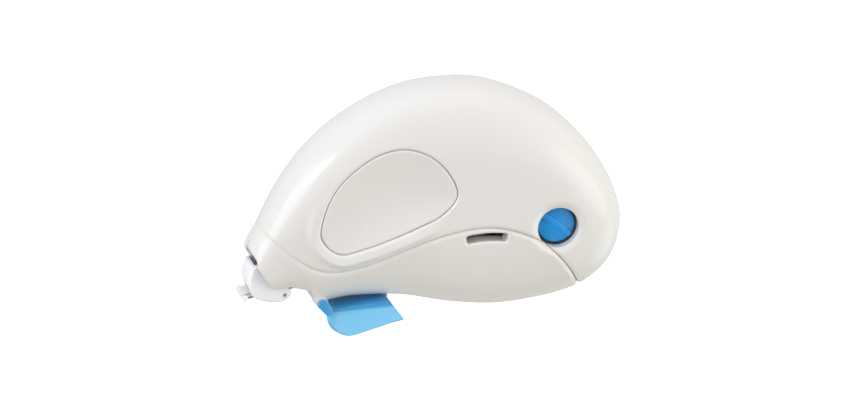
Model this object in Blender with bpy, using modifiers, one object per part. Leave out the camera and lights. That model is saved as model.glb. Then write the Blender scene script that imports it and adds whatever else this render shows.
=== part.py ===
"""Correction tape roller with a hinged tip guard, lying on its back: X to tail, Y to top edge, Z up."""
import math

import bmesh
import bpy
from mathutils import Vector

MM = 0.001
FULL_TURN = 360.0
HALF_TURN = 180.0
SHARP_ANGLE = 35.0

# Housing
HALF_THICKNESS = 10.0
WALL = 1.4
PARTING_GAP = 0.3
SEAM_GAP = 0.35
SECTION_POWER = 2.5
# Steps used to measure slopes on the housing surface, in stations and degrees
SLOPE_STATION = 0.02
SLOPE_ANGLE = 1.0
# Each station: top edge x, y, bottom edge x, y and share of the half thickness, from mouth to tail
STATIONS = [
    (-48.1, -9.0, -42.7, -18.0, 0.62),
    (-45.2, -3.4, -38.0, -18.0, 0.66),
    (-40.9, 4.7, -34.7, -19.2, 0.76),
    (-34.6, 12.8, -32.5, -21.3, 0.86),
    (-26.5, 19.2, -25.5, -20.8, 0.96),
    (-16.3, 23.9, -15.5, -21.4, 1.02),
    (-5.8, 25.3, -4.9, -23.8, 1.04),
    (4.0, 24.0, 5.0, -25.0, 1.04),
    (15.4, 18.4, 14.4, -24.2, 1.02),
    (23.6, 10.6, 21.2, -22.4, 0.96),
    (28.7, 2.9, 26.4, -19.1, 0.84),
    (31.0, -3.3, 29.2, -15.5, 0.63),
    (31.7, -7.4, 30.7, -11.7, 0.32),
    (32.0, -9.6, 32.0, -9.6, 0.0),
]
# Seam between upper cover and lower case: station and angle round the section from the top edge
SEAM = [
    (0.94, 0.0), (1.07, 51.0), (1.26, 75.2), (1.53, 90.2), (1.88, 101.3), (2.46, 110.6), (3.11, 116.2),
    (3.57, 120.0), (4.03, 120.8), (4.46, 117.7), (4.9, 112.6), (5.36, 106.8), (5.87, 101.8),
    (6.38, 98.9), (6.89, 98.0), (7.32, 99.0), (7.71, 101.9), (8.04, 106.8), (8.36, 113.7),
    (8.68, 123.8), (8.99, 139.6), (9.24, 180.0),
]
SEAM_COLUMNS = 26
HEAD_COLUMNS = 4
TAIL_COLUMNS = 7
SHELL_ROWS = 8
SHELL_WELD = 0.02
WELD = 0.001
CUT_MARGIN = 2.0
CASE_SOLVER = "MANIFOLD"

# Grip pads
PAD_OUTLINE = [
    (-4.9, 2.5), (-6.8, 7.6), (-10.8, 11.6), (-16.1, 13.35), (-21.6, 12.25), (-26.4, 9.3), (-30.3, 5.3),
    (-32.8, 0.3), (-33.5, -5.2), (-29.7, -8.9), (-24.2, -7.9), (-18.8, -6.1), (-13.4, -4.0), (-8.2, -1.6),
]
PAD_COUNT = 36
PAD_RECESS = 0.5
PAD_GAP = 0.3
PAD_DISH = 0.9
PAD_THICKNESS = 1.65
PAD_FLANGE = 1.2
PAD_FLANGE_THICKNESS = 0.6
PAD_FLANGE_GAP = 0.15
PAD_ROWS = 9
PAD_COLUMNS = 12
PAD_STATIONS = (2.3, 6.7)
PAD_ANGLES = (48.0, 125.0)

# Gear train and reels, heights from the middle plane
MODULE = 0.7
SUPPLY_TEETH = 42
TAKEUP_TEETH = 26
PRESSURE_ANGLE = 20.0
BACKLASH = 0.3
ADDENDUM = 0.85
DEDENDUM = 1.25
TRAIN_ANGLE = -24.2
TAKEUP_AXIS = (16.8, -6.5)
GEAR_GAP = 0.4
RUN_GAP = 0.3
POST_RADIUS = 2.0
SLEEVE_WALL = 1.0
TAPE_WIDTH = 5.0
FLANGE_THICKNESS = 0.7
SPOOL_SIDE_GAP = 0.6
SUPPLY_CORE = 6.7
SUPPLY_FLANGE = 13.9
SUPPLY_ROLL = 13.2
CLUTCH_THICKNESS = 0.5
CLUTCH_OPEN = 30.0
TAKEUP_CORE = 4.8
FLANGE_GAP = 0.6
TAKEUP_ROLL = 6.4
FRAME_THICKNESS = 1.2
FRAME_GAP = 0.25
FRAME_SUPPLY_RADIUS = 7.0
FRAME_TAKEUP_RADIUS = 4.6
STUB_RADIUS = 1.2
STUB_LENGTH = 1.4
RETAINER_RADIUS = 4.2
RETAINER_THICKNESS = 0.7
ROUND = 24
SMALL_ROUND = 16
CAPSULE_STEPS = 8

# Tension knob and its hole
KNOB_RADIUS = 4.05
KNOB_TOP = 6.9
KNOB_DISC = 1.3
KNOB_NECK = 3.2
KNOB_RIB_WIDTH = 1.5
KNOB_RIB_HEIGHT = 0.5
KNOB_RIB_ANGLE = -40.0
KNOB_HOLE_GAP = 0.35
KNOB_SINK_RADIUS = 5.8
KNOB_SINK_DEPTH = 0.7

# Tape window in the lower case
WINDOW_CENTRE = (1.5, -7.3)
WINDOW_LENGTH = 8.8
WINDOW_HEIGHT = 1.9
WINDOW_BEND_RADIUS = 22.0
WINDOW_STEPS = 8
WINDOW_END_TAPER = 0.4

# Head: tip holder, nib, pin and tape
HOLDER_OUTLINE = [
    (-46.9, -12.6), (-47.5, -13.6), (-47.8, -15.3), (-47.5, -17.6), (-46.8, -18.9), (-45.0, -19.7),
    (-42.4, -20.2), (-40.3, -19.8), (-39.3, -18.8), (-39.2, -17.6), (-40.4, -16.2), (-44.8, -12.6),
]
HOLDER_HALF = 3.9
CHANNEL_GAP = 0.4
HOLDER_COUNT = 36
# Channel through the holder for leaf and tape, closed by the face wall above the nib
CHANNEL_OUTLINE = [
    (-46.6, -9.0), (-46.6, -17.0), (-50.0, -17.0), (-50.0, -22.0), (-37.0, -22.0), (-37.0, -9.0),
]
THROAT_OUTLINE = [(-44.6, -22.0), (-38.8, -22.0), (-38.8, -13.0), (-44.6, -13.0)]
# Slot in the lower case behind the holder where the used tape goes back in
TAPE_SLOT_OUTLINE = [(-39.5, -19.45), (-31.6, -18.6), (-31.6, -14.6), (-39.5, -14.6)]
TAPE_SLOT_GAP = 0.6
THROAT_GAP = 0.45
NIB_BAR = (-48.75, -18.85)
NIB_SIDE_GAP = 0.3
NIB_BAR_RADIUS = 0.42
NIB_FLANGE_RADIUS = 0.65
NIB_FLANGE_WIDTH = 1.0
NIB_ROOT = (-41.6, -17.5)
NIB_LEAF_THICKNESS = 0.5
TIP_PIN = (-40.4, -18.6)
TIP_PIN_RADIUS = 0.55
TIP_PIN_GAP = 0.12
TAPE_THICKNESS = 0.12
TAPE_GAP = 0.1
NIB_STEPS = 4
PIN_STEPS = 2
LEAF_STEPS = 4
ROLLER_RADIUS = 1.4
ROLLER_SIDE_GAP = 0.3
ROLLER_PIN_RADIUS = 0.6
FEED_ROLLER_FROM_NIB = 11.5
FEED_PIN_HALF = 4.2
RETURN_ROLLER_FROM_PIN = 27.0
RETURN_PIN_HALF = 5.2

# Tip guard, drawn open
HINGE = (-32.8, -20.5)
HINGE_BOSS_RADIUS = 1.45
HINGE_BOSS_TOP = 5.6
HINGE_PIN_RADIUS = 0.6
HINGE_PIN_GAP = 0.15
EAR_RADIUS = 1.1
EAR_LINK_RADIUS = 0.8
EAR_SIDE_GAP = 0.4
EAR_GAP = 0.3
EAR_THICKNESS = 0.8
EAR_LINK_END = (-30.9, -23.3)
GUARD_THICKNESS = 0.8
# Each guard station: web x, y and free edge x, y
GUARD_STATIONS = [
    (-31.5, -22.4, -31.5, -23.4),
    (-30.8, -22.35, -31.0, -24.7),
    (-29.6, -22.2, -29.9, -25.9),
    (-27.4, -21.95, -27.3, -27.1),
    (-23.6, -21.6, -22.6, -26.0),
    (-20.4, -21.4, -18.8, -24.9),
    (-18.2, -21.45, -16.0, -24.3),
]
GUARD_COLUMNS = 12
GUARD_FOLD = 4.9
GUARD_FREE = 8.0
# Guard section from the middle: share of fold half width, of the flare and of the way to the free edge
GUARD_SECTION = [
    (0.0, 0.0, 0.0), (0.55, 0.0, 0.0), (0.85, 0.0, 0.01), (1.0, 0.0, 0.08), (1.0, 0.05, 0.33),
    (1.0, 0.3, 0.46), (1.0, 0.65, 0.73), (1.0, 1.0, 1.0),
]
# Notch in the web beside the horn, so that the guard can swing
GUARD_NOTCH = [(-34.0, -24.5), (-30.4, -24.5), (-30.4, -19.0), (-34.0, -19.0)]
GUARD_NOTCH_HALF = 5.5

# Looks: colour, roughness, metallic
IVORY = ((0.86, 0.84, 0.79), 0.28, 0.0)
PAD_IVORY = ((0.83, 0.81, 0.76), 0.4, 0.0)
BLUE = ((0.02, 0.20, 0.62), 0.25, 0.0)
LIGHT_BLUE = ((0.10, 0.45, 0.80), 0.3, 0.0)
MILKY = ((0.72, 0.72, 0.76), 0.35, 0.0)
GREY = ((0.30, 0.31, 0.33), 0.45, 0.0)
WHITE = ((0.90, 0.90, 0.90), 0.4, 0.0)
TAPE = ((0.88, 0.88, 0.88), 0.55, 0.0)
LINER = ((0.70, 0.72, 0.74), 0.38, 0.0)
STEEL = ((0.62, 0.62, 0.64), 0.3, 1.0)

for old in list(bpy.data.objects):
    bpy.data.objects.remove(old, do_unlink=True)

part = bpy.data.collections.new("correction_tape")
cutters = bpy.data.collections.new("cutters")
bpy.context.scene.collection.children.link(part)
bpy.context.scene.collection.children.link(cutters)

SUPPLY_PITCH = MODULE * SUPPLY_TEETH / 2
TAKEUP_PITCH = MODULE * TAKEUP_TEETH / 2
CENTRES = SUPPLY_PITCH + TAKEUP_PITCH
TRAIN = math.radians(TRAIN_ANGLE)
SUPPLY_AXIS = (
    TAKEUP_AXIS[0] - CENTRES * math.cos(TRAIN),
    TAKEUP_AXIS[1] - CENTRES * math.sin(TRAIN),
)
STILL = (0.0, 0.0)
OVER = HALF_THICKNESS + CUT_MARGIN
UNDER = PARTING_GAP

# Stack from the back wall to the reels, which are centred on the tape
half_tape = TAPE_WIDTH / 2
pad_foot = PAD_RECESS + PAD_THICKNESS
flange_top = WALL + PAD_FLANGE_GAP
flange_foot = flange_top + PAD_FLANGE_THICKNESS
frame_foot = max(pad_foot, flange_foot) + FRAME_GAP - HALF_THICKNESS
frame_top = frame_foot + FRAME_THICKNESS
spool_inside = half_tape + SPOOL_SIDE_GAP
spool_top = spool_inside + FLANGE_THICKNESS
gear_bottom = frame_top + GEAR_GAP
gear_top = -spool_top - GEAR_GAP
channel_half = half_tape + CHANNEL_GAP


def material(name, colour, roughness, metallic):
    mat = bpy.data.materials.new(name)
    mat.use_nodes = True
    shader = mat.node_tree.nodes["Principled BSDF"]
    shader.inputs["Base Color"].default_value = (*colour, 1.0)
    shader.inputs["Roughness"].default_value = roughness
    shader.inputs["Metallic"].default_value = metallic
    return mat


def place(name, bm, at=STILL, look=None, sheet=False):
    """Make the mesh into an object with its origin on the axis at; a piece with no look is a cutter."""
    for vert in bm.verts:
        vert.co = (vert.co - Vector((at[0], at[1], 0.0))) * MM
    if not sheet:
        bmesh.ops.recalc_face_normals(bm, faces=bm.faces)
    mesh = bpy.data.meshes.new(name)
    bm.to_mesh(mesh)
    bm.free()
    mesh.shade_smooth()
    mesh.set_sharp_from_angle(angle=math.radians(SHARP_ANGLE))
    obj = bpy.data.objects.new(name, mesh)
    obj.location = (at[0] * MM, at[1] * MM, HALF_THICKNESS * MM)
    if look is None:
        cutters.objects.link(obj)
        obj.hide_render = True
        obj.display_type = "WIRE"
    else:
        part.objects.link(obj)
        mesh.materials.append(material(name + "_material", *look))
    return obj


def combine(obj, other, operation, solver="EXACT"):
    mod = obj.modifiers.new(operation.lower(), "BOOLEAN")
    mod.solver = solver
    mod.operation = operation
    mod.object = other


def spline(points, u):
    """Catmull-Rom value at u, counted in points."""
    last = len(points) - 1
    i = min(int(u), last - 1)
    t = u - i
    around = [points[min(max(k, 0), last)] for k in (i - 1, i, i + 1, i + 2)]
    out = []
    for p, q, r, s in zip(*around):
        square = 2 * p - 5 * q + 4 * r - s
        cube = 3 * q - p - 3 * r + s
        out.append(0.5 * (2 * q + (r - p) * t + square * t ** 2 + cube * t ** 3))
    return out


def closed_spline(points, count):
    wrapped = [points[-1]] + list(points) + list(points[:2])
    return [spline(wrapped, 1 + len(points) * k / count) for k in range(count)]


def grown(outline, margin):
    """The outline moved out by a margin, for an anticlockwise or clockwise ring."""
    area = sum(a[0] * b[1] - b[0] * a[1] for a, b in zip(outline, outline[1:] + outline[:1]))
    turn = 1.0 if area > 0 else -1.0
    ring = []
    for k, point in enumerate(outline):
        before, after = outline[k - 1], outline[(k + 1) % len(outline)]
        along = Vector((after[0] - before[0], after[1] - before[1])).normalized()
        ring.append((point[0] + turn * margin * along.y, point[1] - turn * margin * along.x))
    return ring


def body_point(station, angle):
    top_x, top_y, low_x, low_y, fullness = spline(STATIONS, station)
    half = max(fullness, 0.0) * HALF_THICKNESS
    cosine = math.cos(math.radians(angle))
    sine = math.sin(math.radians(angle))
    share = 0.5 * (1 - math.copysign(abs(cosine) ** (2 / SECTION_POWER), cosine))
    height = math.copysign(half * abs(sine) ** (2 / SECTION_POWER), sine)
    height = max(min(height, HALF_THICKNESS), -HALF_THICKNESS)
    return Vector((top_x + (low_x - top_x) * share, top_y + (low_y - top_y) * share, height))


def body_normal(station, angle):
    tail = len(STATIONS) - 1
    if station > tail - SLOPE_STATION:
        return Vector((1.0, 0.0, 0.0))
    station = max(station, SLOPE_STATION)
    along = body_point(station + SLOPE_STATION, angle) - body_point(station - SLOPE_STATION, angle)
    across = body_point(station, angle + SLOPE_ANGLE) - body_point(station, angle - SLOPE_ANGLE)
    return across.cross(along).normalized()


def shell(name, columns, rows, outer, inner, side, look, dish=0.0):
    """A wall between two depths under the housing surface; columns hold station, first and last angle."""
    bm = bmesh.new()
    edges = []
    for depth, hollow in ((outer, dish), (inner, 0.0)):
        old_edges = set(bm.edges)
        grid = bmesh.ops.create_grid(bm, x_segments=len(columns) - 1, y_segments=rows - 1, size=1.0)
        for vert in grid["verts"]:
            column = columns[round((vert.co.x + 1) / 2 * (len(columns) - 1))]
            across = (vert.co.y + 1) / 2
            angle = column[1] + (column[2] - column[1]) * across
            sunk = depth + hollow * (1 - vert.co.x ** 2) * (1 - vert.co.y ** 2)
            spot = body_point(column[0], angle) - sunk * body_normal(column[0], angle)
            lift = max(spot.z, 0.0) * (1 - PARTING_GAP / 2 / HALF_THICKNESS) + PARTING_GAP / 2
            vert.co = (spot.x, spot.y, side * lift)
        bmesh.ops.remove_doubles(bm, verts=grid["verts"], dist=SHELL_WELD)
        edges += [edge for edge in bm.edges if edge not in old_edges and edge.is_boundary]
    bmesh.ops.bridge_loops(bm, edges=edges)
    bmesh.ops.triangulate(bm, faces=bm.faces, quad_method="SHORT_EDGE")
    return place(name, bm, STILL, look)


def prism(name, outline, low, high, at=STILL, look=None):
    bm = bmesh.new()
    face = bm.faces.new([bm.verts.new((x, y, low)) for x, y in outline])
    grow = bmesh.ops.extrude_face_region(bm, geom=[face])
    risen = [item for item in grow["geom"] if isinstance(item, bmesh.types.BMVert)]
    bmesh.ops.translate(bm, vec=(0, 0, high - low), verts=risen)
    return place(name, bm, at, look)


def turned(name, profile, at, look=None, sweep=FULL_TURN, steps=ROUND):
    """A profile of radius and height turned about the axis at; off the axis it closes to a ring."""
    bm = bmesh.new()
    verts = [bm.verts.new((at[0] + r, at[1], z)) for r, z in profile]
    geom = [bm.edges.new(pair) for pair in zip(verts, verts[1:])]
    if profile[0][0] > 0:
        geom.append(bm.edges.new((verts[-1], verts[0])))
    whole = sweep >= FULL_TURN
    if not whole:
        geom = [bm.faces.new(verts)]
    bmesh.ops.spin(bm, geom=geom, cent=(at[0], at[1], 0), axis=(0, 0, 1), angle=math.radians(sweep),
                   steps=steps, use_merge=whole, use_duplicate=False)
    bmesh.ops.remove_doubles(bm, verts=bm.verts, dist=WELD)
    return place(name, bm, at, look)


def ring(inner, outer, low, high):
    return [(outer, high), (outer, low), (inner, low), (inner, high)]


def rod(radius, low, high):
    return [(0.0, high), (radius, high), (radius, low), (0.0, low)]


def span(side, near, far):
    """Low and high of a stretch of height, mirrored to the back for side -1."""
    return sorted((side * near, side * far))


def capsule(start, start_radius, end, end_radius, steps=CAPSULE_STEPS):
    """Outline round two discs."""
    line = Vector(end) - Vector(start)
    lean = math.asin((start_radius - end_radius) / line.length)
    face = math.atan2(line.y, line.x)
    points = []
    for centre, radius, first, last in (
        (start, start_radius, face + math.pi / 2 - lean, face + 1.5 * math.pi + lean),
        (end, end_radius, face - math.pi / 2 + lean, face + math.pi / 2 - lean),
    ):
        for k in range(steps + 1):
            turn = first + (last - first) * k / steps
            points.append((centre[0] + radius * math.cos(turn), centre[1] + radius * math.sin(turn)))
    return points


def gear_outline(teeth, at, phase):
    pitch = MODULE * teeth / 2
    slope = math.radians(PRESSURE_ANGLE)
    base = pitch * math.cos(slope)
    half_pitch = (math.pi * MODULE / 2 - BACKLASH) / 2 / pitch
    flank = []
    for radius in (pitch - DEDENDUM * MODULE, pitch, pitch + ADDENDUM * MODULE):
        lean = math.acos(min(base / radius, 1.0))
        flank.append((radius, half_pitch + math.tan(slope) - slope - math.tan(lean) + lean))
    points = []
    for k in range(teeth):
        middle = phase + 2 * math.pi * k / teeth
        for radius, half in flank:
            points.append((radius, middle - half))
        for radius, half in reversed(flank):
            points.append((radius, middle + half))
    return [(at[0] + r * math.cos(a), at[1] + r * math.sin(a)) for r, a in points]


# Housing shells
seam = [spline(SEAM, (len(SEAM) - 1) * k / SEAM_COLUMNS) for k in range(SEAM_COLUMNS + 1)]
head_end = SEAM[0][0]
seam_end = SEAM[-1][0]
last_station = len(STATIONS) - 1


def slope(station, angle):
    """How far the surface point moves for one station and for one degree."""
    along = body_point(station + SLOPE_STATION, angle) - body_point(station - SLOPE_STATION, angle)
    across = body_point(station, angle + SLOPE_ANGLE) - body_point(station, angle - SLOPE_ANGLE)
    return along.length / 2 / SLOPE_STATION, across.length / 2 / SLOPE_ANGLE


def seam_edge(k, hand):
    """Station and angle half the seam gap to one side of a seam point: 1 for the cover, -1 for the case."""
    station, angle = seam[k]
    before = seam[max(k - 1, 0)]
    after = seam[min(k + 1, SEAM_COLUMNS)]
    per_station, per_degree = slope(station, angle)
    run = Vector(((after[0] - before[0]) * per_station, (after[1] - before[1]) * per_degree)).normalized()
    shift = hand * SEAM_GAP / 2
    moved = angle - shift * run.x / per_degree
    return station + shift * run.y / per_station, min(max(moved, 0.0), HALF_TURN)


upper_columns = []
lower_columns = [(head_end * k / HEAD_COLUMNS, 0.0, HALF_TURN) for k in range(HEAD_COLUMNS)]
for k in range(SEAM_COLUMNS + 1):
    station, angle = seam_edge(k, 1)
    upper_columns.append((station, 0.0, angle))
    station, angle = seam_edge(k, -1)
    lower_columns.append((station, angle, HALF_TURN))
for k in range(1, TAIL_COLUMNS + 1):
    ease = math.sin(math.pi / 2 * k / TAIL_COLUMNS)
    upper_columns.append((seam_end + (last_station - seam_end) * ease, 0.0, HALF_TURN))

pad_columns = []
for k in range(PAD_COLUMNS + 1):
    pad_station = PAD_STATIONS[0] + (PAD_STATIONS[1] - PAD_STATIONS[0]) * k / PAD_COLUMNS
    pad_columns.append((pad_station, *PAD_ANGLES))
pad_ring = closed_spline(PAD_OUTLINE, PAD_COUNT)
pad_hole = grown(pad_ring, PAD_GAP)
pad_rim = grown(pad_ring, PAD_FLANGE)
covers = {}
cases = {}
for side, label in ((1, "front"), (-1, "back")):
    low, high = span(side, UNDER, OVER)
    cover = shell("upper_cover_" + label, upper_columns, SHELL_ROWS, 0.0, WALL, side, IVORY)
    case = shell("lower_case_" + label, lower_columns, SHELL_ROWS, 0.0, WALL, side, IVORY)
    combine(cover, prism("pad_hole_" + label, pad_hole, low, high), "DIFFERENCE")
    pad = shell("grip_pad_" + label, pad_columns, PAD_ROWS, PAD_RECESS, pad_foot, side, PAD_IVORY, PAD_DISH)
    combine(pad, prism("pad_cut_" + label, pad_ring, low, high), "INTERSECT")
    flange = shell("pad_flange_" + label, pad_columns, PAD_ROWS, flange_top, flange_foot, side, None)
    combine(flange, prism("pad_flange_cut_" + label, pad_rim, low, high), "INTERSECT")
    combine(pad, flange, "UNION")
    covers[side] = cover
    cases[side] = case

# Knob hole with its sunk rim, and the tape window
hole_radius = KNOB_RADIUS + KNOB_HOLE_GAP
sink_foot = HALF_THICKNESS - KNOB_SINK_DEPTH
knob_hole = turned("knob_hole", [
    (0.0, OVER), (KNOB_SINK_RADIUS, OVER), (KNOB_SINK_RADIUS, HALF_THICKNESS),
    (hole_radius, sink_foot), (hole_radius, UNDER), (0.0, UNDER)], TAKEUP_AXIS)
combine(covers[1], knob_hole, "DIFFERENCE")
combine(cases[1], knob_hole, "DIFFERENCE", CASE_SOLVER)
bend = (WINDOW_CENTRE[0], WINDOW_CENTRE[1] - WINDOW_BEND_RADIUS)
swing = WINDOW_LENGTH / WINDOW_BEND_RADIUS / 2
window = []
for edge, direction in ((WINDOW_HEIGHT / 2, 1), (-WINDOW_HEIGHT / 2, -1)):
    for k in range(WINDOW_STEPS + 1):
        turn = math.pi / 2 + direction * swing * (1 - 2 * k / WINDOW_STEPS)
        taper = WINDOW_END_TAPER if k in (0, WINDOW_STEPS) else 0.0
        reach = WINDOW_BEND_RADIUS + edge * (1 - taper)
        window.append((bend[0] + reach * math.cos(turn), bend[1] + reach * math.sin(turn)))
combine(cases[1], prism("window_cut", window, UNDER, OVER), "DIFFERENCE", CASE_SOLVER)

# Hinge bosses, hinge pin holes and the throat under the mouth
hinge_bore = HINGE_PIN_RADIUS + HINGE_PIN_GAP
for side, label in ((1, "front"), (-1, "back")):
    case = cases[side]
    boss_span = span(side, UNDER, HINGE_BOSS_TOP + UNDER)
    recess_span = span(side, HINGE_BOSS_TOP, OVER)
    bore_span = span(side, -UNDER, OVER)
    boss = turned("hinge_boss_" + label, rod(HINGE_BOSS_RADIUS, *boss_span), HINGE)
    recess = turned("hinge_recess_" + label, rod(EAR_RADIUS + EAR_SIDE_GAP, *recess_span), HINGE)
    bore = turned("hinge_bore_" + label, rod(hinge_bore, *bore_span), HINGE)
    combine(case, boss, "UNION", CASE_SOLVER)
    combine(case, recess, "DIFFERENCE", CASE_SOLVER)
    combine(case, bore, "DIFFERENCE", CASE_SOLVER)
throat_half = HOLDER_HALF + THROAT_GAP
throat = prism("throat_cut", THROAT_OUTLINE, -throat_half, throat_half)
slot_half = half_tape + TAPE_SLOT_GAP
tape_slot = prism("tape_slot_cut", TAPE_SLOT_OUTLINE, -slot_half, slot_half)
for side in (1, -1):
    combine(cases[side], throat, "DIFFERENCE", CASE_SOLVER)
    combine(cases[side], tape_slot, "DIFFERENCE", CASE_SOLVER)

# Reel frame with its two posts
plate = capsule(SUPPLY_AXIS, FRAME_SUPPLY_RADIUS, TAKEUP_AXIS, FRAME_TAKEUP_RADIUS)
frame = prism("reel_frame", plate, frame_foot, frame_top, STILL, GREY)
post_top = spool_top + RETAINER_THICKNESS
stub_top = post_top + STUB_LENGTH
supply_post = turned("supply_post", [
    (0.0, stub_top), (STUB_RADIUS, stub_top), (STUB_RADIUS, post_top), (POST_RADIUS, post_top),
    (POST_RADIUS, frame_foot), (0.0, frame_foot)], SUPPLY_AXIS)
takeup_post = turned("takeup_post", rod(POST_RADIUS, frame_foot, spool_inside), TAKEUP_AXIS)
combine(frame, supply_post, "UNION")
combine(frame, takeup_post, "UNION")

# Supply reel
bore_radius = POST_RADIUS + RUN_GAP
sleeve_radius = bore_radius + SLEEVE_WALL
clutch_in = sleeve_radius + RUN_GAP
clutch_out = clutch_in + CLUTCH_THICKNESS
spool_bore = clutch_out + RUN_GAP


def gear(name, teeth, axis, phase):
    wheel = prism(name, gear_outline(teeth, axis, phase), gear_bottom, gear_top, axis, WHITE)
    sleeve = turned(name + "_sleeve", rod(sleeve_radius, gear_bottom + UNDER, spool_inside), axis)
    hollow = turned(name + "_bore", rod(bore_radius, gear_bottom - UNDER, spool_inside + UNDER), axis)
    combine(wheel, sleeve, "UNION")
    combine(wheel, hollow, "DIFFERENCE")


def spool_profile(bore, core, flange):
    return [
        (flange, spool_top), (flange, spool_inside), (core, spool_inside), (core, -spool_inside),
        (flange, -spool_inside), (flange, -spool_top), (bore, -spool_top), (bore, spool_top),
    ]


gear("supply_gear", SUPPLY_TEETH, SUPPLY_AXIS, TRAIN)
clutch = ring(clutch_in, clutch_out, -half_tape, half_tape)
turned("clutch_ring", clutch, SUPPLY_AXIS, STEEL, sweep=FULL_TURN - CLUTCH_OPEN)
turned("supply_spool", spool_profile(spool_bore, SUPPLY_CORE, SUPPLY_FLANGE), SUPPLY_AXIS, WHITE)
supply_roll = ring(SUPPLY_CORE + RUN_GAP, SUPPLY_ROLL, -half_tape, half_tape)
turned("supply_tape_roll", supply_roll, SUPPLY_AXIS, TAPE)
retainer_foot = post_top + RUN_GAP
retainer = ring(STUB_RADIUS + RUN_GAP, RETAINER_RADIUS, retainer_foot, retainer_foot + RETAINER_THICKNESS)
turned("supply_retainer", retainer, SUPPLY_AXIS, GREY)

# Take-up reel and tension knob
gear("takeup_gear", TAKEUP_TEETH, TAKEUP_AXIS, TRAIN + math.pi + math.pi / TAKEUP_TEETH)
takeup_bore = sleeve_radius + RUN_GAP
takeup_flange = CENTRES - SUPPLY_FLANGE - FLANGE_GAP
turned("takeup_spool", spool_profile(takeup_bore, TAKEUP_CORE, takeup_flange), TAKEUP_AXIS, WHITE)
takeup_roll = ring(TAKEUP_CORE + RUN_GAP, TAKEUP_ROLL, -half_tape, half_tape)
turned("takeup_tape_roll", takeup_roll, TAKEUP_AXIS, LINER)
knob_foot = spool_top + RUN_GAP
disc_foot = KNOB_TOP - KNOB_DISC
plug_foot = spool_inside + RUN_GAP
knob = turned("tension_knob", [
    (0.0, KNOB_TOP), (KNOB_RADIUS, KNOB_TOP), (KNOB_RADIUS, disc_foot), (KNOB_NECK, disc_foot),
    (KNOB_NECK, knob_foot), (POST_RADIUS, knob_foot), (POST_RADIUS, plug_foot), (0.0, plug_foot)],
    TAKEUP_AXIS, BLUE)
rib_turn = math.radians(KNOB_RIB_ANGLE)
rib_reach = KNOB_RADIUS - KNOB_RIB_WIDTH / 2
rib_run = Vector((rib_reach * math.cos(rib_turn), rib_reach * math.sin(rib_turn)))
rib_start = Vector(TAKEUP_AXIS) - rib_run
rib_end = Vector(TAKEUP_AXIS) + rib_run
rib = capsule(rib_start, KNOB_RIB_WIDTH / 2, rib_end, KNOB_RIB_WIDTH / 2)
rib_foot = KNOB_TOP - KNOB_DISC / 2
combine(knob, prism("knob_rib", rib, rib_foot, KNOB_TOP + KNOB_RIB_HEIGHT, TAKEUP_AXIS), "UNION")

# Tip holder, nib and cross pin
holder_ring = closed_spline(HOLDER_OUTLINE, HOLDER_COUNT)
holder = prism("tip_holder", holder_ring, -HOLDER_HALF, HOLDER_HALF, STILL, MILKY)
channel = prism("holder_channel", CHANNEL_OUTLINE, -channel_half, channel_half)
pin_hole = turned("tip_pin_hole", rod(TIP_PIN_RADIUS + TIP_PIN_GAP, -OVER, OVER), TIP_PIN)
combine(holder, channel, "DIFFERENCE")
combine(holder, pin_hole, "DIFFERENCE")
turned("tip_pin", rod(TIP_PIN_RADIUS, -HOLDER_HALF, HOLDER_HALF), TIP_PIN, STEEL, steps=SMALL_ROUND)
bar_neck = half_tape + NIB_SIDE_GAP
bar_half = bar_neck + NIB_FLANGE_WIDTH
nib = turned("applicator_nib", [
    (0.0, bar_half), (NIB_FLANGE_RADIUS, bar_half), (NIB_FLANGE_RADIUS, bar_neck),
    (NIB_BAR_RADIUS, bar_neck), (NIB_BAR_RADIUS, -bar_neck), (NIB_FLANGE_RADIUS, -bar_neck),
    (NIB_FLANGE_RADIUS, -bar_half), (0.0, -bar_half)], NIB_BAR, MILKY, steps=SMALL_ROUND)
leaf = capsule(NIB_BAR, NIB_LEAF_THICKNESS / 2, NIB_ROOT, NIB_LEAF_THICKNESS / 2, LEAF_STEPS)
combine(nib, prism("nib_leaf", leaf, -half_tape, half_tape), "UNION")


# Tape runs
def tangent(first, second):
    """Ends of the straight run between two discs given as x, y, radius, side of the travel."""
    line = Vector((second[0] - first[0], second[1] - first[1]))
    offset = second[3] * second[2] - first[3] * first[2]
    heading = math.atan2(line.y, line.x) - math.asin(offset / line.length)
    left = Vector((-math.sin(heading), math.cos(heading)))
    ends = []
    for x, y, radius, hand in (first, second):
        ends.append(Vector((x, y)) - hand * radius * left)
    return ends


def ribbon(name, path, look):
    sides = ([], [])
    for k, point in enumerate(path):
        along = (path[min(k + 1, len(path) - 1)] - path[max(k - 1, 0)]).normalized()
        across = Vector((-along.y, along.x)) * TAPE_THICKNESS / 2
        sides[0].append(tuple(point + across))
        sides[1].append(tuple(point - across))
    return prism(name, sides[0] + sides[1][::-1], -half_tape, half_tape, STILL, look)


def wrap(centre, radius, first, last, steps):
    turns = [first + (last - first) * k / steps for k in range(steps + 1)]
    return [Vector((centre[0] + radius * math.cos(a), centre[1] + radius * math.sin(a))) for a in turns]


lay = TAPE_GAP + TAPE_THICKNESS / 2
RIGHT, LEFT = -1, 1
supply_disc = (*SUPPLY_AXIS, SUPPLY_ROLL + lay, RIGHT)
nib_disc = (*NIB_BAR, NIB_BAR_RADIUS + lay, LEFT)
pin_disc = (*TIP_PIN, TIP_PIN_RADIUS + lay, RIGHT)
takeup_disc = (*TAKEUP_AXIS, TAKEUP_ROLL + lay, LEFT)
feed = tangent(supply_disc, nib_disc)
back = tangent(nib_disc, pin_disc)
home = tangent(pin_disc, takeup_disc)


def bearing(centre, point):
    return math.atan2(point.y - centre[1], point.x - centre[0]) % (2 * math.pi)


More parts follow.
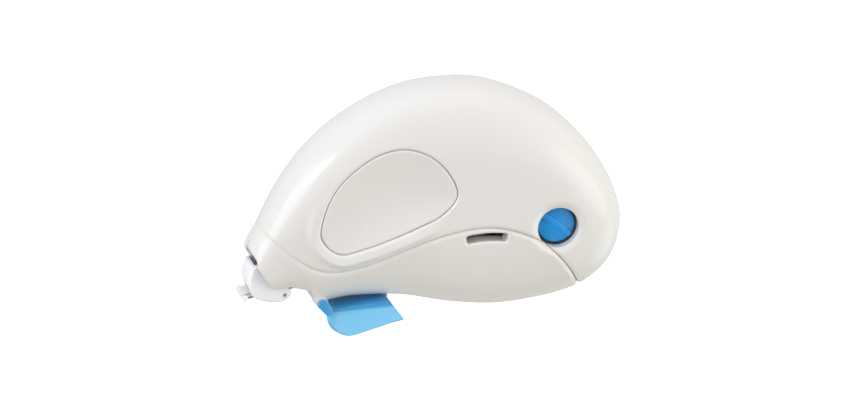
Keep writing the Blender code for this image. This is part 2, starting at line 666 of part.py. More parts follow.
nib_reach = NIB_BAR_RADIUS + lay
split = TAPE_GAP / nib_reach / 2
feed_end = bearing(NIB_BAR, feed[1])
feed_path = [feed[0]] + wrap(NIB_BAR, nib_reach, feed_end, math.pi - split, NIB_STEPS)
ribbon("tape_feed_run", feed_path, TAPE)
pin_reach = TIP_PIN_RADIUS + lay
return_path = wrap(NIB_BAR, nib_reach, math.pi + split, bearing(NIB_BAR, back[0]), NIB_STEPS)
pin_turns = (bearing(TIP_PIN, back[1]), bearing(TIP_PIN, home[0]))
return_path += wrap(TIP_PIN, pin_reach, *pin_turns, PIN_STEPS)
return_path.append(home[1])
ribbon("tape_return_run", return_path, LINER)

# Guide rollers
feed_heading = (feed[0] - feed[1]).normalized()
feed_up = Vector((-feed_heading.y, feed_heading.x))
feed_roller = feed[1] + feed_heading * FEED_ROLLER_FROM_NIB + feed_up * (ROLLER_RADIUS + lay)
home_heading = (home[1] - home[0]).normalized()
home_down = Vector((home_heading.y, -home_heading.x))
return_roller = home[0] + home_heading * RETURN_ROLLER_FROM_PIN + home_down * (ROLLER_RADIUS + lay)
roller_bore = ROLLER_PIN_RADIUS + RUN_GAP
roller_half = half_tape + ROLLER_SIDE_GAP
roller = ring(roller_bore, ROLLER_RADIUS, -roller_half, roller_half)
rollers = (("feed", feed_roller, FEED_PIN_HALF), ("return", return_roller, RETURN_PIN_HALF))
for label, axis, pin_half in rollers:
    roller_pin = rod(ROLLER_PIN_RADIUS, -pin_half, pin_half)
    turned(label + "_roller", roller, tuple(axis), GREY, steps=SMALL_ROUND)
    turned(label + "_roller_pin", roller_pin, tuple(axis), STEEL, steps=SMALL_ROUND)

# Tip guard: an outer sheet thickened inwards, with ears on the hinge pin
bm = bmesh.new()
half_rows = len(GUARD_SECTION) - 1
last_guard = len(GUARD_STATIONS) - 1
grid = bmesh.ops.create_grid(bm, x_segments=GUARD_COLUMNS, y_segments=2 * half_rows, size=1.0)
for vert in grid["verts"]:
    web_x, web_y, free_x, free_y = spline(GUARD_STATIONS, (vert.co.x + 1) / 2 * last_guard)
    row = round(vert.co.y * half_rows)
    width, flare, down = GUARD_SECTION[abs(row)]
    half = GUARD_FOLD * width + (GUARD_FREE - GUARD_FOLD) * flare
    vert.co.x = web_x + (free_x - web_x) * down
    vert.co.y = web_y + (free_y - web_y) * down
    vert.co.z = math.copysign(half, row)
guard = place("tip_guard", bm, HINGE, LIGHT_BLUE, sheet=True)
thick = guard.modifiers.new("wall", "SOLIDIFY")
thick.thickness = GUARD_THICKNESS * MM
thick.offset = 1.0
notch = prism("guard_notch", GUARD_NOTCH, -GUARD_NOTCH_HALF, GUARD_NOTCH_HALF, HINGE)
combine(guard, notch, "DIFFERENCE")
ear_foot = HINGE_BOSS_TOP + EAR_GAP
ear_end = ear_foot + EAR_THICKNESS
ear = capsule(HINGE, EAR_RADIUS, EAR_LINK_END, EAR_LINK_RADIUS)
for side, label in ((1, "front"), (-1, "back")):
    ear_span = span(side, ear_foot, ear_end)
    combine(guard, prism("guard_ear_" + label, ear, *ear_span, HINGE), "UNION")
combine(guard, turned("guard_bore", rod(hinge_bore, -OVER, OVER), HINGE), "DIFFERENCE")
turned("guard_hinge_pin", rod(HINGE_PIN_RADIUS, -ear_end, ear_end), HINGE, STEEL, steps=SMALL_ROUND)
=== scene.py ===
# %% [markdown]
# # A correction tape roller, dressed
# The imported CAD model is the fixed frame: it says where every piece is and how it moves.
# This script keeps that frame and models the visible mouldings again with finer meshes,
# soft lips and worked materials. The first cell must load the frame before anything else exists.

# %% load the frame
import math

import bmesh
import bpy
import numpy as np
from mathutils import Matrix, Vector
from mathutils.kdtree import KDTree


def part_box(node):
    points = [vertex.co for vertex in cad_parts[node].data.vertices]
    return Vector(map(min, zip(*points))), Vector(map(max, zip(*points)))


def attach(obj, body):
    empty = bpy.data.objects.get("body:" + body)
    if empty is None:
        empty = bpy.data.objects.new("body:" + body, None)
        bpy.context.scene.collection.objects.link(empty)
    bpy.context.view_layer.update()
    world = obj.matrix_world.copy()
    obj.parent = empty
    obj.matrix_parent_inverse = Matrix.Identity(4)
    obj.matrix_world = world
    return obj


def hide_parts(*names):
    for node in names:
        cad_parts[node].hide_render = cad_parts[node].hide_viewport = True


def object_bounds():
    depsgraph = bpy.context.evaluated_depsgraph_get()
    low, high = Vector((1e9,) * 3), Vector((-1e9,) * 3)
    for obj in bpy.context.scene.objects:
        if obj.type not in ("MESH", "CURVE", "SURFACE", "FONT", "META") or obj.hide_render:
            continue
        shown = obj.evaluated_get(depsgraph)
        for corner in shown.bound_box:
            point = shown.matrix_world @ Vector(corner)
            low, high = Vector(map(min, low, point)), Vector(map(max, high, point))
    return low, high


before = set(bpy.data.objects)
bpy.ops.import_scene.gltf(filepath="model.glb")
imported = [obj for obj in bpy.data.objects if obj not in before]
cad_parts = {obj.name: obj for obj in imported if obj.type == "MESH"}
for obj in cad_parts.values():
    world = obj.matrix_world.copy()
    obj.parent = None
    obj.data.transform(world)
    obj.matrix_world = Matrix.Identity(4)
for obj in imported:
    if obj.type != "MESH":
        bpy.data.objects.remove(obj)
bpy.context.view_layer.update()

MM = 0.001
scene = bpy.context.scene
scene.view_settings.view_transform = "Standard"

# %% [markdown]
# ## The housing as one smooth skin
# The real housing is a single styled surface that was split afterwards into covers and cases.
# So the lesson starts with that surface: stations from the mouth to the tail, each a chord from the
# top edge to the bottom edge with a rounded section over it. A point on it has two numbers, the
# station along the body and the angle round the section (0 is the top edge, 180 the bottom edge).
# All heights are measured from the middle plane, where the front and back shells meet.
# Each station lists its top x and y, its bottom x and y, and its half thickness.

# %% the skin
HALF_THICKNESS = 10.0
SECTION_POWER = 2.5
FLAT_BLEND = 0.35
STATIONS = [
    (-48.1, -9.0, -42.7, -18.0, 6.2), (-45.2, -3.4, -38.0, -18.0, 6.6),
    (-40.9, 4.7, -34.7, -19.2, 7.6), (-34.6, 12.8, -32.5, -21.3, 8.6),
    (-26.5, 19.2, -25.5, -20.8, 9.6), (-16.3, 23.9, -15.5, -21.4, 10.2),
    (-5.8, 25.3, -4.9, -23.8, 10.4), (4.0, 24.0, 5.0, -25.0, 10.4),
    (15.4, 18.4, 14.4, -24.2, 10.2), (23.6, 10.6, 21.2, -22.4, 9.6),
    (28.7, 2.9, 26.4, -19.1, 8.4), (31.0, -3.3, 29.2, -15.5, 6.3),
    (31.7, -7.4, 30.7, -11.7, 3.2), (32.0, -9.6, 32.0, -9.6, 0.0),
]
TAIL = len(STATIONS) - 1
BOTTOM = 180.0
TINY = 1e-9
HALVINGS = 40


def spline(points, u):
    """Smooth curve through the points, read at each u, which counts in points."""
    points = np.asarray(points, float)
    u = np.asarray(u, float)
    last = len(points) - 1
    i = np.clip(np.floor(u).astype(int), 0, last - 1)
    t = (u - i)[:, None]
    p, q, r, s = (points[np.clip(i + k, 0, last)] for k in (-1, 0, 1, 2))
    square = 2 * p - 5 * q + 4 * r - s
    cube = 3 * q - p - 3 * r + s
    return 0.5 * (2 * q + (r - p) * t + square * t ** 2 + cube * t ** 3)


def ramp(low, high, value):
    """Soft step from 0 at low to 1 at high."""
    x = np.clip((value - low) / (high - low), 0, 1)
    return x * x * (3 - 2 * x)


def skin(station, angle):
    """Points of the skin's front half, in millimetres from the middle plane."""
    top_x, top_y, low_x, low_y, half = spline(STATIONS, station).T
    cosine, sine = np.cos(np.radians(angle)), np.sin(np.radians(angle))
    power = 2 / SECTION_POWER
    share = 0.5 * (1 - np.sign(cosine) * np.abs(cosine) ** power)
    height = np.maximum(half, 0) * np.abs(sine) ** power
    over = np.maximum(height - (HALF_THICKNESS - FLAT_BLEND), 0)
    height = height - over + FLAT_BLEND * (1 - np.exp(-over / FLAT_BLEND))
    x, y = top_x + (low_x - top_x) * share, top_y + (low_y - top_y) * share
    return np.column_stack((x, y, height))


def skin_slopes(station, angle):
    """How a point moves with its station and with its angle."""
    step, turn = 0.02, 0.5
    ahead, behind = np.minimum(station + step, TAIL), np.maximum(station - step, 0)
    along = (skin(ahead, angle) - skin(behind, angle)) / (ahead - behind)[:, None]
    over, under = np.minimum(angle + turn, BOTTOM), np.maximum(angle - turn, 0)
    across = (skin(station, over) - skin(station, under)) / (over - under)[:, None]
    return along, across


def skin_normal(station, angle):
    """Outward direction of the skin; the tail's point looks along x."""
    along, across = skin_slopes(station, angle)
    normal = np.cross(across, along)
    normal[np.linalg.norm(normal, axis=1) < TINY] = (1, 0, 0)
    normal /= np.linalg.norm(normal, axis=1)[:, None]
    normal[normal[:, 2] < 0] *= (1, 1, 0)
    return normal


def locate(x, y):
    """Station and angle of the skin point over x, y."""
    low, high = np.zeros(len(x)), np.full(len(x), float(TAIL))
    for _ in range(HALVINGS):
        middle = (low + high) / 2
        top_x, top_y, low_x, low_y, _half = spline(STATIONS, middle).T
        tailward = (low_x - top_x) * (y - top_y) - (low_y - top_y) * (x - top_x) > 0
        low, high = np.where(tailward, middle, low), np.where(tailward, high, middle)
    top_x, top_y, low_x, low_y, _half = spline(STATIONS, low).T
    run_x, run_y = low_x - top_x, low_y - top_y
    share = ((x - top_x) * run_x + (y - top_y) * run_y) / (run_x ** 2 + run_y ** 2)
    side = np.clip(1 - 2 * share, -1, 1)
    return low, np.degrees(np.arccos(np.sign(side) * np.abs(side) ** (SECTION_POWER / 2)))


probe = skin(np.array([6.0]), np.array([90.0]))[0]
print("skin at the sixth station, halfway round: %.1f %.1f %.1f mm" % tuple(probe))

# %% [markdown]
# ## The seam and the pad opening
# Two lines on the skin cut it into mouldings: the sweeping seam between cover and case, and the
# opening for the thumb pad. Each is a smooth curve through a few points. The seam is moved a little
# to either side, square to itself, so that cover and case keep a fine groove between them.

# %% lines on the skin
SEAM = [
    (-45.42, -3.81), (-41.85, -7.05), (-38.5, -9.9), (-35.1, -12.1), (-30.9, -13.1),
    (-25.5, -12.5), (-19.0, -10.2), (-11.9, -7.45), (-5.0, -5.7), (1.0, -5.15),
    (6.5, -6.1), (12.0, -8.5), (16.4, -12.2), (19.6, -16.3), (22.61, -21.72),
]
PAD_OUTLINE = [
    (-4.9, 2.5), (-6.8, 7.6), (-10.8, 11.6), (-16.1, 13.35), (-21.6, 12.25),
    (-26.4, 9.3), (-30.3, 5.3), (-32.8, 0.3), (-33.5, -5.2), (-29.7, -8.9),
    (-24.2, -7.9), (-18.8, -6.1), (-13.4, -4.0), (-8.2, -1.6),
]
SEAM_GAP, SEAM_FAINT, SEAM_CLEAR = 0.14, 0.3, (1.3, 2.8)
PAD_GAP = 0.13
FINE = 1200


def seam_strength(station):
    """The seam is faint at the mouth and clear along the body."""
    return SEAM_FAINT + (1 - SEAM_FAINT) * ramp(*SEAM_CLEAR, station)


def lengths(spots):
    """Distance along a line of points, from the first point to each."""
    return np.concatenate(([0], np.cumsum(np.linalg.norm(np.diff(spots, axis=0), axis=1))))


def seam_line(hand):
    """Seam edge of the cover (hand 1) or the case (hand -1), evenly spaced along its length."""
    station, angle = locate(*spline(SEAM, np.linspace(0, len(SEAM) - 1, FINE)).T)
    travel = np.gradient(skin(station, angle), axis=0)
    aside = np.cross(skin_normal(station, angle), travel)
    aside /= np.linalg.norm(aside, axis=1)[:, None]
    shift = hand * SEAM_GAP / 2 * aside * seam_strength(station)[:, None]
    along, across = skin_slopes(station, angle)
    aa, ac, cc = (along * along).sum(1), (along * across).sum(1), (across * across).sum(1)
    sa, sc = (shift * along).sum(1), (shift * across).sum(1)
    scale = aa * cc - ac * ac
    station = station + (sa * cc - sc * ac) / scale
    angle = np.clip(angle + (sc * aa - sa * ac) / scale, 0, BOTTOM)
    angle[0], angle[-1] = 0.0, BOTTOM
    length = lengths(skin(station, angle))
    even = np.linspace(0, length[-1], FINE)
    return np.interp(even, length, station), np.interp(even, length, angle)


def closed_curve(points, count):
    """Evenly counted points on a smooth closed curve through the given ones."""
    wrapped_round = [points[-1]] + list(points) + list(points[:2])
    return spline(wrapped_round, 1 + len(points) * np.arange(count) / count)


def grown(ring, distance):
    """A closed outline moved outwards, or inwards by a negative distance."""
    run = np.roll(ring, -1, axis=0) - np.roll(ring, 1, axis=0)
    out = np.column_stack((run[:, 1], -run[:, 0]))
    after = np.roll(ring, -1, axis=0)
    area = np.sum(ring[:, 0] * after[:, 1] - after[:, 0] * ring[:, 1])
    return ring + distance * np.sign(area) * out / np.linalg.norm(out, axis=1)[:, None]


cover_seam, case_seam = seam_line(1), seam_line(-1)
pad_ring = closed_curve(PAD_OUTLINE, FINE)
pad_opening = grown(pad_ring, PAD_GAP)
print("seam", len(cover_seam[0]), "points; pad", np.round(np.ptp(pad_ring, axis=0), 1), "mm")

# %% [markdown]
# ## From flat sheet to skin
# Each moulding starts as a flat grid. Its x counts the columns and its y the rows, both from 0 to 1.
# Tables then give every column and row its station and angle, so the grid is wrapped on the skin.
# Rows are crowded near an edge, where a lip has to roll over. Round a hole, which no row follows, the
# faces are split finer instead.

# %% sheet helpers
FIRST_SHARE, LAST_SHARE = 0.55, 0.38
COLUMN_SAMPLES = 60


def flat_grid(columns, rows):
    bm = bmesh.new()
    bmesh.ops.create_grid(bm, x_segments=columns, y_segments=rows, size=0.5)
    bmesh.ops.translate(bm, verts=bm.verts, vec=(0.5, 0.5, 0.0))
    return bm


def places(bm):
    return np.array([vert.co[:] for vert in bm.verts])


def split_where(bm, wanted):
    """Halves the edges whose two ends are both wanted, as told vertex by vertex."""
    bm.verts.index_update()
    edges = [edge for edge in bm.edges if all(wanted[vert.index] for vert in edge.verts)]
    bmesh.ops.subdivide_edges(bm, edges=edges, cuts=1, use_grid_fill=True)


def map_grid(tables):
    return flat_grid(tables.shape[1] - 1, tables.shape[2] - 1)


def wrapped(tables, bm):
    """Station and angle of a sheet's vertices, filled in between the entries of the tables."""
    flat = places(bm)
    last_column, last_row = tables.shape[1] - 1, tables.shape[2] - 1
    column, row = flat[:, 0] * last_column, flat[:, 1] * last_row
    i = np.clip(column.astype(int), 0, last_column - 1)
    j = np.clip(row.astype(int), 0, last_row - 1)
    u, v = column - i, row - j
    near = tables[:, i, j] * (1 - v) + tables[:, i, j + 1] * v
    far = tables[:, i + 1, j] * (1 - v) + tables[:, i + 1, j + 1] * v
    return near * (1 - u) + far * u


def crowd(length, first, last, middle):
    """Distances along a column: crowded as listed at both ends, even in the middle."""
    first = np.array(first) * min(1.0, FIRST_SHARE * length / max(first[-1], TINY))
    last = np.array(last) * min(1.0, LAST_SHARE * length / max(last[-1], TINY))
    inner = np.linspace(first[-1], length - last[-1], middle + 2)[1:-1]
    return np.concatenate((first, inner, length - last[::-1]))


def column_table(starts, ends, first, last, middle):
    """Stations and angles of columns that run straight, on the skin's map, from starts to ends."""
    columns = []
    t = np.linspace(0, 1, COLUMN_SAMPLES)
    for start, end in zip(starts, ends):
        start, run = np.array(start)[:, None], np.subtract(end, start)[:, None]
        length = lengths(skin(*(start + run * t)))
        share = np.interp(crowd(length[-1], first, last, middle), length, t)
        columns.append(start + run * share)
    return np.stack(columns, axis=1)


print("rows along 10 mm:", np.round(crowd(10.0, [0, 0.1, 0.3], [0, 0.1, 0.3], 3), 2))

# %% [markdown]
# ## From sheet to solid
# A wrapped sheet is doubled: one copy is the outside, the other the inside, and the extrude operator
# closes the wall between them. Simpler solids are raised from an outline or spun from a profile.
# Holes are cut and bosses joined with Boolean modifiers, whose result is kept as the piece's mesh.

# %% walls and solids
WALL = 1.4
WELD = 0.0005
HAIRLINE = 0.05
CORNER = 35.0


def to_world(spots, side):
    """Millimetres from the middle plane to metres in the frame; side -1 is the back shell."""
    out = np.array(spots, float)
    lift = HAIRLINE / 2
    height = np.maximum(out[:, 2], 0) * (1 - lift / HALF_THICKNESS) + lift
    out[:, 2] = side * height + HALF_THICKNESS
    return out * MM


def shade(mesh):
    mesh.shade_smooth()
    mesh.set_sharp_from_angle(angle=math.radians(CORNER))


def new_piece(name, bm):
    mesh = bpy.data.meshes.new(name)
    bm.to_mesh(mesh)
    bm.free()
    shade(mesh)
    piece = bpy.data.objects.new(name, mesh)
    scene.collection.objects.link(piece)
    return piece


def new_verts(made):
    return [item for item in made["geom"] if isinstance(item, bmesh.types.BMVert)]


def wall_piece(name, bm, spots, normal, lift, wall, side):
    """Closes a sheet into a wall, from lift above the spots to the wall's depth below them."""
    outside = to_world(spots + normal * np.reshape(lift, (-1, 1)), side)
    inside = to_world(spots - normal * np.reshape(wall, (-1, 1)), side)
    serial = bm.verts.layers.int.new("serial")
    for k, vert in enumerate(bm.verts):
        vert[serial] = k
        vert.co = outside[k]
    bmesh.ops.remove_doubles(bm, verts=bm.verts, dist=WELD * MM)
    made = bmesh.ops.extrude_face_region(bm, geom=bm.faces[:], use_keep_orig=True)
    for vert in new_verts(made):
        vert.co = inside[vert[serial]]
    bmesh.ops.recalc_face_normals(bm, faces=bm.faces)
    return new_piece(name, bm)


def slab(outline, low, high):
    """A flat outline in millimetres raised from low to high."""
    bm = bmesh.new()
    foot = (low + HALF_THICKNESS) * MM
    base = bm.faces.new([bm.verts.new((x * MM, y * MM, foot)) for x, y in outline])
    raised = bmesh.ops.extrude_face_region(bm, geom=[base], use_keep_orig=True)
    bmesh.ops.translate(bm, verts=new_verts(raised), vec=(0.0, 0.0, (high - low) * MM))
    bmesh.ops.recalc_face_normals(bm, faces=bm.faces)
    return bm


def turned(profile, axis, steps):
    """A profile of radius, height pairs spun about an upright axis; radius 0 closes a pole."""
    bm = bmesh.new()
    verts = [bm.verts.new((r * MM, 0.0, (z + HALF_THICKNESS) * MM)) for r, z in profile]
    edges = [bm.edges.new(pair) for pair in zip(verts[:-1], verts[1:])]
    bmesh.ops.spin(bm, geom=verts + edges, cent=(0, 0, 0), axis=(0, 0, 1), angle=math.tau,
                   steps=steps, use_merge=True)
    bmesh.ops.remove_doubles(bm, verts=bm.verts, dist=WELD * MM)
    bmesh.ops.recalc_face_normals(bm, faces=bm.faces)
    bmesh.ops.translate(bm, verts=bm.verts, vec=(axis[0] * MM, axis[1] * MM, 0.0))
    return bm


def keep_modified(piece):
    """Makes what the modifiers give the piece's own mesh."""
    bpy.context.view_layer.update()
    old = piece.data
    ready = piece.evaluated_get(bpy.context.evaluated_depsgraph_get())
    piece.data = bpy.data.meshes.new_from_object(ready)
    piece.modifiers.clear()
    bpy.data.meshes.remove(old)
    piece.data.name = piece.name
    shade(piece.data)


def join_cut(piece, bm, operation):
    """Cuts the tool bmesh from the piece, or joins it on."""
    tool = new_piece(piece.name + "_tool", bm)
    change = piece.modifiers.new("change", "BOOLEAN")
    change.operation, change.solver, change.object = operation, "MANIFOLD", tool
    keep_modified(piece)
    bpy.data.objects.remove(tool)


def arc(centre, radius, first, last, count):
    """Points on an arc between two bearings in degrees."""
    turns = np.radians(np.linspace(first, last, count))
    return [(centre[0] + radius * math.cos(a), centre[1] + radius * math.sin(a)) for a in turns]


def circle(centre, radius, count):
    return arc(centre, radius, 0, 360, count + 1)[:-1]


print("helpers ready, walls", WALL, "mm")

# %% [markdown]
# ## The lips
# A moulded edge is never sharp: the cover and the case roll over into the seam, the cover rolls over
# into the pad groove, and the rim of the knob hole is a broad soft funnel in a deeper wall. Below and
# beside the pad the cover swells into a low roll that frames the thumb. All of these are small moves
# along the surface's own normal, set by the distance to a line.

# %% lips and swellings
KNOB_AXIS, KNOB_HOLE = (16.8, -6.5), 4.4
RIM_OUT, RIM_DEPTH = 6.4, 0.8
RIM_COLLAR, COLLAR_FADE = 1.2, (0.5, 1.4)
PAD_CENTRE = (-20.0, 2.5)
ROLL_FOOT, ROLL_HEIGHT, ROLL_CREST, ROLL_OUT = 0.1, 0.75, 1.8, 3.2
ROLL_GROWS, ROLL_FADES = (172.0, 222.0), (300.0, 342.0)


def distance_to(spots, curve):
    """Shortest distance from each spot to a curve given as close points."""
    tree = KDTree(len(curve))
    for k, point in enumerate(curve):
        tree.insert(point, k)
    tree.balance()
    near = np.array([tree.find(spot)[1] for spot in spots])
    best = np.full(len(spots), np.inf)
    for step in (-1, 0):
        start = np.clip(near + step, 0, len(curve) - 2)
        a, run = curve[start], curve[start + 1] - curve[start]
        t = np.clip(((spots - a) * run).sum(1) / np.maximum((run * run).sum(1), TINY), 0, 1)
        best = np.minimum(best, np.linalg.norm(spots - a - run * t[:, None], axis=1))
    return best


def rolled(distance, width, depth):
    """How far a lip has dropped at this distance from its edge: a soft parabola."""
    return depth * np.clip(1 - distance / width, 0, 1) ** 2


def from_knob(spots):
    return np.hypot(spots[:, 0] - KNOB_AXIS[0], spots[:, 1] - KNOB_AXIS[1])


def knob_rim(spots):
    return rolled(from_knob(spots) - KNOB_HOLE, RIM_OUT - KNOB_HOLE, RIM_DEPTH)


def knob_collar(spots):
    return RIM_COLLAR * (1 - ramp(*COLLAR_FADE, from_knob(spots) - KNOB_HOLE))


def on_skin(outline):
    """A flat closed outline laid on the skin as a fine curve."""
    ring = np.vstack((outline, outline[:1]))
    length = lengths(ring)
    even = np.linspace(0, length[-1], FINE)
    return skin(*locate(np.interp(even, length, ring[:, 0]), np.interp(even, length, ring[:, 1])))


def pad_bearing(spots):
    """Bearing of each spot from the middle of the pad, in radians."""
    return np.arctan2(spots[:, 1] - PAD_CENTRE[1], spots[:, 0] - PAD_CENTRE[0]) % math.tau


pad_curve = on_skin(pad_opening)


def roll_round_pad(spots):
    """The low roll left of and below the pad opening."""
    bearing = np.degrees(pad_bearing(spots))
    share = ramp(*ROLL_GROWS, bearing) * (1 - ramp(*ROLL_FADES, bearing))
    away = distance_to(spots, pad_curve)
    rise = ROLL_FOOT + (ROLL_HEIGHT - ROLL_FOOT) * np.minimum(away / ROLL_CREST, 1)
    return share * rise * (1 - ramp(ROLL_CREST, ROLL_OUT, away))


print("rim of the knob hole", RIM_OUT - KNOB_HOLE, "mm wide")

# %% [markdown]
# ## Upper covers
# The cover is the big glossy top with the pad opening in it. One grid runs in rings round the opening
# out to the seam and the top edge. A second grid carries on from there to the tail, where its columns
# meet in one point. Both are wrapped on the skin, welded, and closed into a wall. Round the front's
# knob hole the grid is split finer in three steps.

# %% upper covers
COVER_LIP, PAD_LIP = (0.8, 0.4), (0.55, 0.3)
SPLIT = 6.9
PAD_ROWS = [0, .03, .08, .15, .24, .34, .46, .65, .95, 1.3, 1.65, 2.0, 2.35, 2.7, 3.1, 3.6, 4.2]
EDGE_ROWS = [0, .03, .08, .15, .25, .38, .54, .75, 1.05, 1.6]
RING_MIDDLE, TAIL_MIDDLE = 22, 46
SEAM_COLUMNS, TOP_COLUMNS, HUMP_COLUMNS, TAIL_COLUMNS = 190, 70, 64, 44
TAIL_CROWD = 1.4
TAIL_THIN, TAIL_THIN_REACH = 0.25, 2.0
KNOB_FINER = [(3.4, 8.2), (3.7, 7.6), (4.0, 6.0)]
CUT_LOW, CUT_HIGH = 1, 14
ROUND_STEPS = 128


def part_way(line, counts):
    """Stations and angles at places of a line on the skin, counted in its points."""
    return np.column_stack([np.interp(counts, np.arange(FINE), row) for row in line])


seam_split = np.interp(SPLIT, cover_seam[0], np.arange(FINE))


def tail_table():
    """Columns from the top edge down to the seam, then down to the bottom edge, to the tail."""
    stations, lows = part_way(cover_seam, np.linspace(seam_split, FINE - 1, HUMP_COLUMNS)).T
    left = (1 - np.linspace(0, 1, TAIL_COLUMNS + 1)[1:]) ** TAIL_CROWD
    stations = np.concatenate((stations, TAIL - (TAIL - stations[-1]) * left))
    lows = np.concatenate((lows, np.full(TAIL_COLUMNS, BOTTOM)))
    starts = [(s, 0.0) for s in stations]
    return column_table(starts, list(zip(stations, lows)), [0], EDGE_ROWS, TAIL_MIDDLE)


def ring_table(tail_angles):
    """Columns from the pad opening out to the seam, to the tail grid and to the top edge."""
    rim = list(part_way(cover_seam, np.linspace(0, seam_split, SEAM_COLUMNS)))
    rim += [(SPLIT, angle) for angle in tail_angles[::-1][1:]]
    rim += [(s, 0.0) for s in np.linspace(SPLIT, rim[0][0], TOP_COLUMNS)[1:]]
    rim = np.array(rim)
    wanted, opening = pad_bearing(skin(*rim.T)), pad_bearing(pad_opening)
    x, y = (np.interp(wanted, opening, row, period=math.tau) for row in pad_opening.T)
    return column_table(list(zip(*locate(x, y))), rim, PAD_ROWS, EDGE_ROWS, RING_MIDDLE)


def within(distance, reach):
    return (distance > reach[0]) & (distance < reach[1])


def knob_hole_tool():
    profile = [(0, CUT_HIGH), (KNOB_HOLE, CUT_HIGH), (KNOB_HOLE, CUT_LOW), (0, CUT_LOW)]
    return turned(profile, KNOB_AXIS, ROUND_STEPS)


def upper_cover(name, side):
    tail_map = tail_table()
    ring_map = ring_table(tail_map[1][0])
    bm, tail = map_grid(ring_map), map_grid(tail_map)
    if side > 0:
        for reach in KNOB_FINER:
            spots = skin(*wrapped(tail_map, tail))
            split_where(tail, within(from_knob(spots), reach))
    station, angle = np.hstack((wrapped(ring_map, bm), wrapped(tail_map, tail)))
    held = bpy.data.meshes.new("held")
    tail.to_mesh(held)
    tail.free()
    bm.from_mesh(held)
    bpy.data.meshes.remove(held)
    spots, normal = skin(station, angle), skin_normal(station, angle)
    lift = roll_round_pad(spots)
    lift -= rolled(distance_to(spots, skin(*cover_seam)), *COVER_LIP) * seam_strength(station)
    lift -= rolled(distance_to(spots, pad_curve), *PAD_LIP)
    wall = WALL * np.clip((TAIL - station) / TAIL_THIN_REACH, TAIL_THIN, 1.0)
    if side > 0:
        lift -= knob_rim(spots)
        wall += knob_collar(spots)
    piece = wall_piece(name, bm, spots, normal, lift, wall, side)
    if side > 0:
        join_cut(piece, knob_hole_tool(), "DIFFERENCE")
    return piece


pieces = {}


def both_sides(node, name, make):
    for side, label in ((1, "front"), (-1, "back")):
        pieces[node + label] = make(name + label, side)
        print(name + label, len(pieces[node + label].data.polygons), "faces")


both_sides("upper_cover_", "upper_cover_shell_", upper_cover)

# %% [markdown]
# ## The tape window
# An arched slot in the front case shows how much tape is left. Its outline is two long arcs about one
# centre far below, with a small round at each of the four corners.

# %% tape window
WINDOW_CENTRE, WINDOW_LENGTH, WINDOW_HEIGHT, WINDOW_BEND = (1.5, -7.3), 8.8, 1.9, 22.0
WINDOW_CORNER = 0.55
CORNER_POINTS, ARC_POINTS = 8, 30


def window_outline():
    bend = (WINDOW_CENTRE[0], WINDOW_CENTRE[1] - WINDOW_BEND)
    half_turn = math.degrees((WINDOW_LENGTH / 2 - WINDOW_CORNER) / WINDOW_BEND)
    half = WINDOW_HEIGHT / 2
    points = []
    for sweep in (1, -1):
        end = 90 - sweep * half_turn
        for edge in (-sweep, sweep):
            reach = WINDOW_BEND + edge * (half - WINDOW_CORNER)
            corner, = arc(bend, reach, end, end, 1)
            first = end - 90 * sweep - (90 if edge != sweep else 0)
            points += arc(corner, WINDOW_CORNER, first, first + 90, CORNER_POINTS)
        points += arc(bend, WINDOW_BEND + sweep * half, end, 180 - end, ARC_POINTS)[1:-1]
    return points


window_ring = np.array(window_outline())
window_curve = on_skin(window_ring)
print("window", np.round(np.ptp(window_ring, axis=0), 2), "mm")

# %% [markdown]
# ## Lower cases
# The case is the mouth, the belly and the horn for the guard. Its columns start at the seam and run
# down to the bottom edge, and the first few make the round of the mouth. The belly sinks a little
# below the seam. The hinge bosses are joined on, and the hinge holes, the throat under the mouth, the
# slot for the tape, the knob hole and the tape window are cut.

# %% lower cases
CASE_LIP, MOUTH_LIP, WINDOW_LIP = (1.0, 0.62), (0.6, 0.45), (0.6, 0.4)
MOUTH_ROWS = [0, .04, .1, .18, .28, .4, .55, .8, 1.2]
CASE_COLUMNS, HEAD_MIDDLE, CASE_MIDDLE = 210, 8, 40
HEAD_SAMPLES, HEAD_ANGLE = 30, 45.0
MOUTH_BACK, MOUTH_REACH, MOUTH_ANGLES = {1: 0.6, -1: 0.0}, 0.6, (45.0, 70.0)
MOUTH_THIN = 0.3
WINDOW_COLLAR, WINDOW_COLLAR_FADE = 2.8, (0.6, 1.8)
WINDOW_FINER = [2.4, 1.6, 1.0]
BELLY_SINK, BELLY_REACH, BELLY_STARTS = 0.9, 5.0, (2.0, 4.0)
HINGE, HINGE_BORE = (-32.8, -20.5), 0.75
BOSS_RADIUS, BOSS_FOOT, BOSS_TOP = 1.25, 0.3, 5.6
THROAT = [(-44.6, -22.0), (-38.8, -22.0), (-38.8, -13.0), (-44.6, -13.0)]
TAPE_SLOT = [(-39.5, -19.45), (-33.6, -18.8), (-33.6, -14.6), (-39.5, -14.6)]
THROAT_HALF, TAPE_SLOT_HALF = 4.35, 3.1
BOSS_STEPS, BORE_STEPS = 48, 32


def case_table():
    """Columns from the mouth's top edge, then from the seam, down to the bottom edge."""
    head = np.linspace(0, case_seam[0][0], HEAD_SAMPLES)
    run = lengths(skin(head, np.full(HEAD_SAMPLES, HEAD_ANGLE)))
    heads = np.interp(crowd(run[-1], MOUTH_ROWS, EDGE_ROWS, HEAD_MIDDLE), run, head)
    starts = [(s, 0.0) for s in heads[:-1]]
    starts += list(part_way(case_seam, np.linspace(0, FINE - 1, CASE_COLUMNS)))
    ends = [(s, BOTTOM) for s, _angle in starts]
    return column_table(starts, ends, EDGE_ROWS, [0], CASE_MIDDLE)


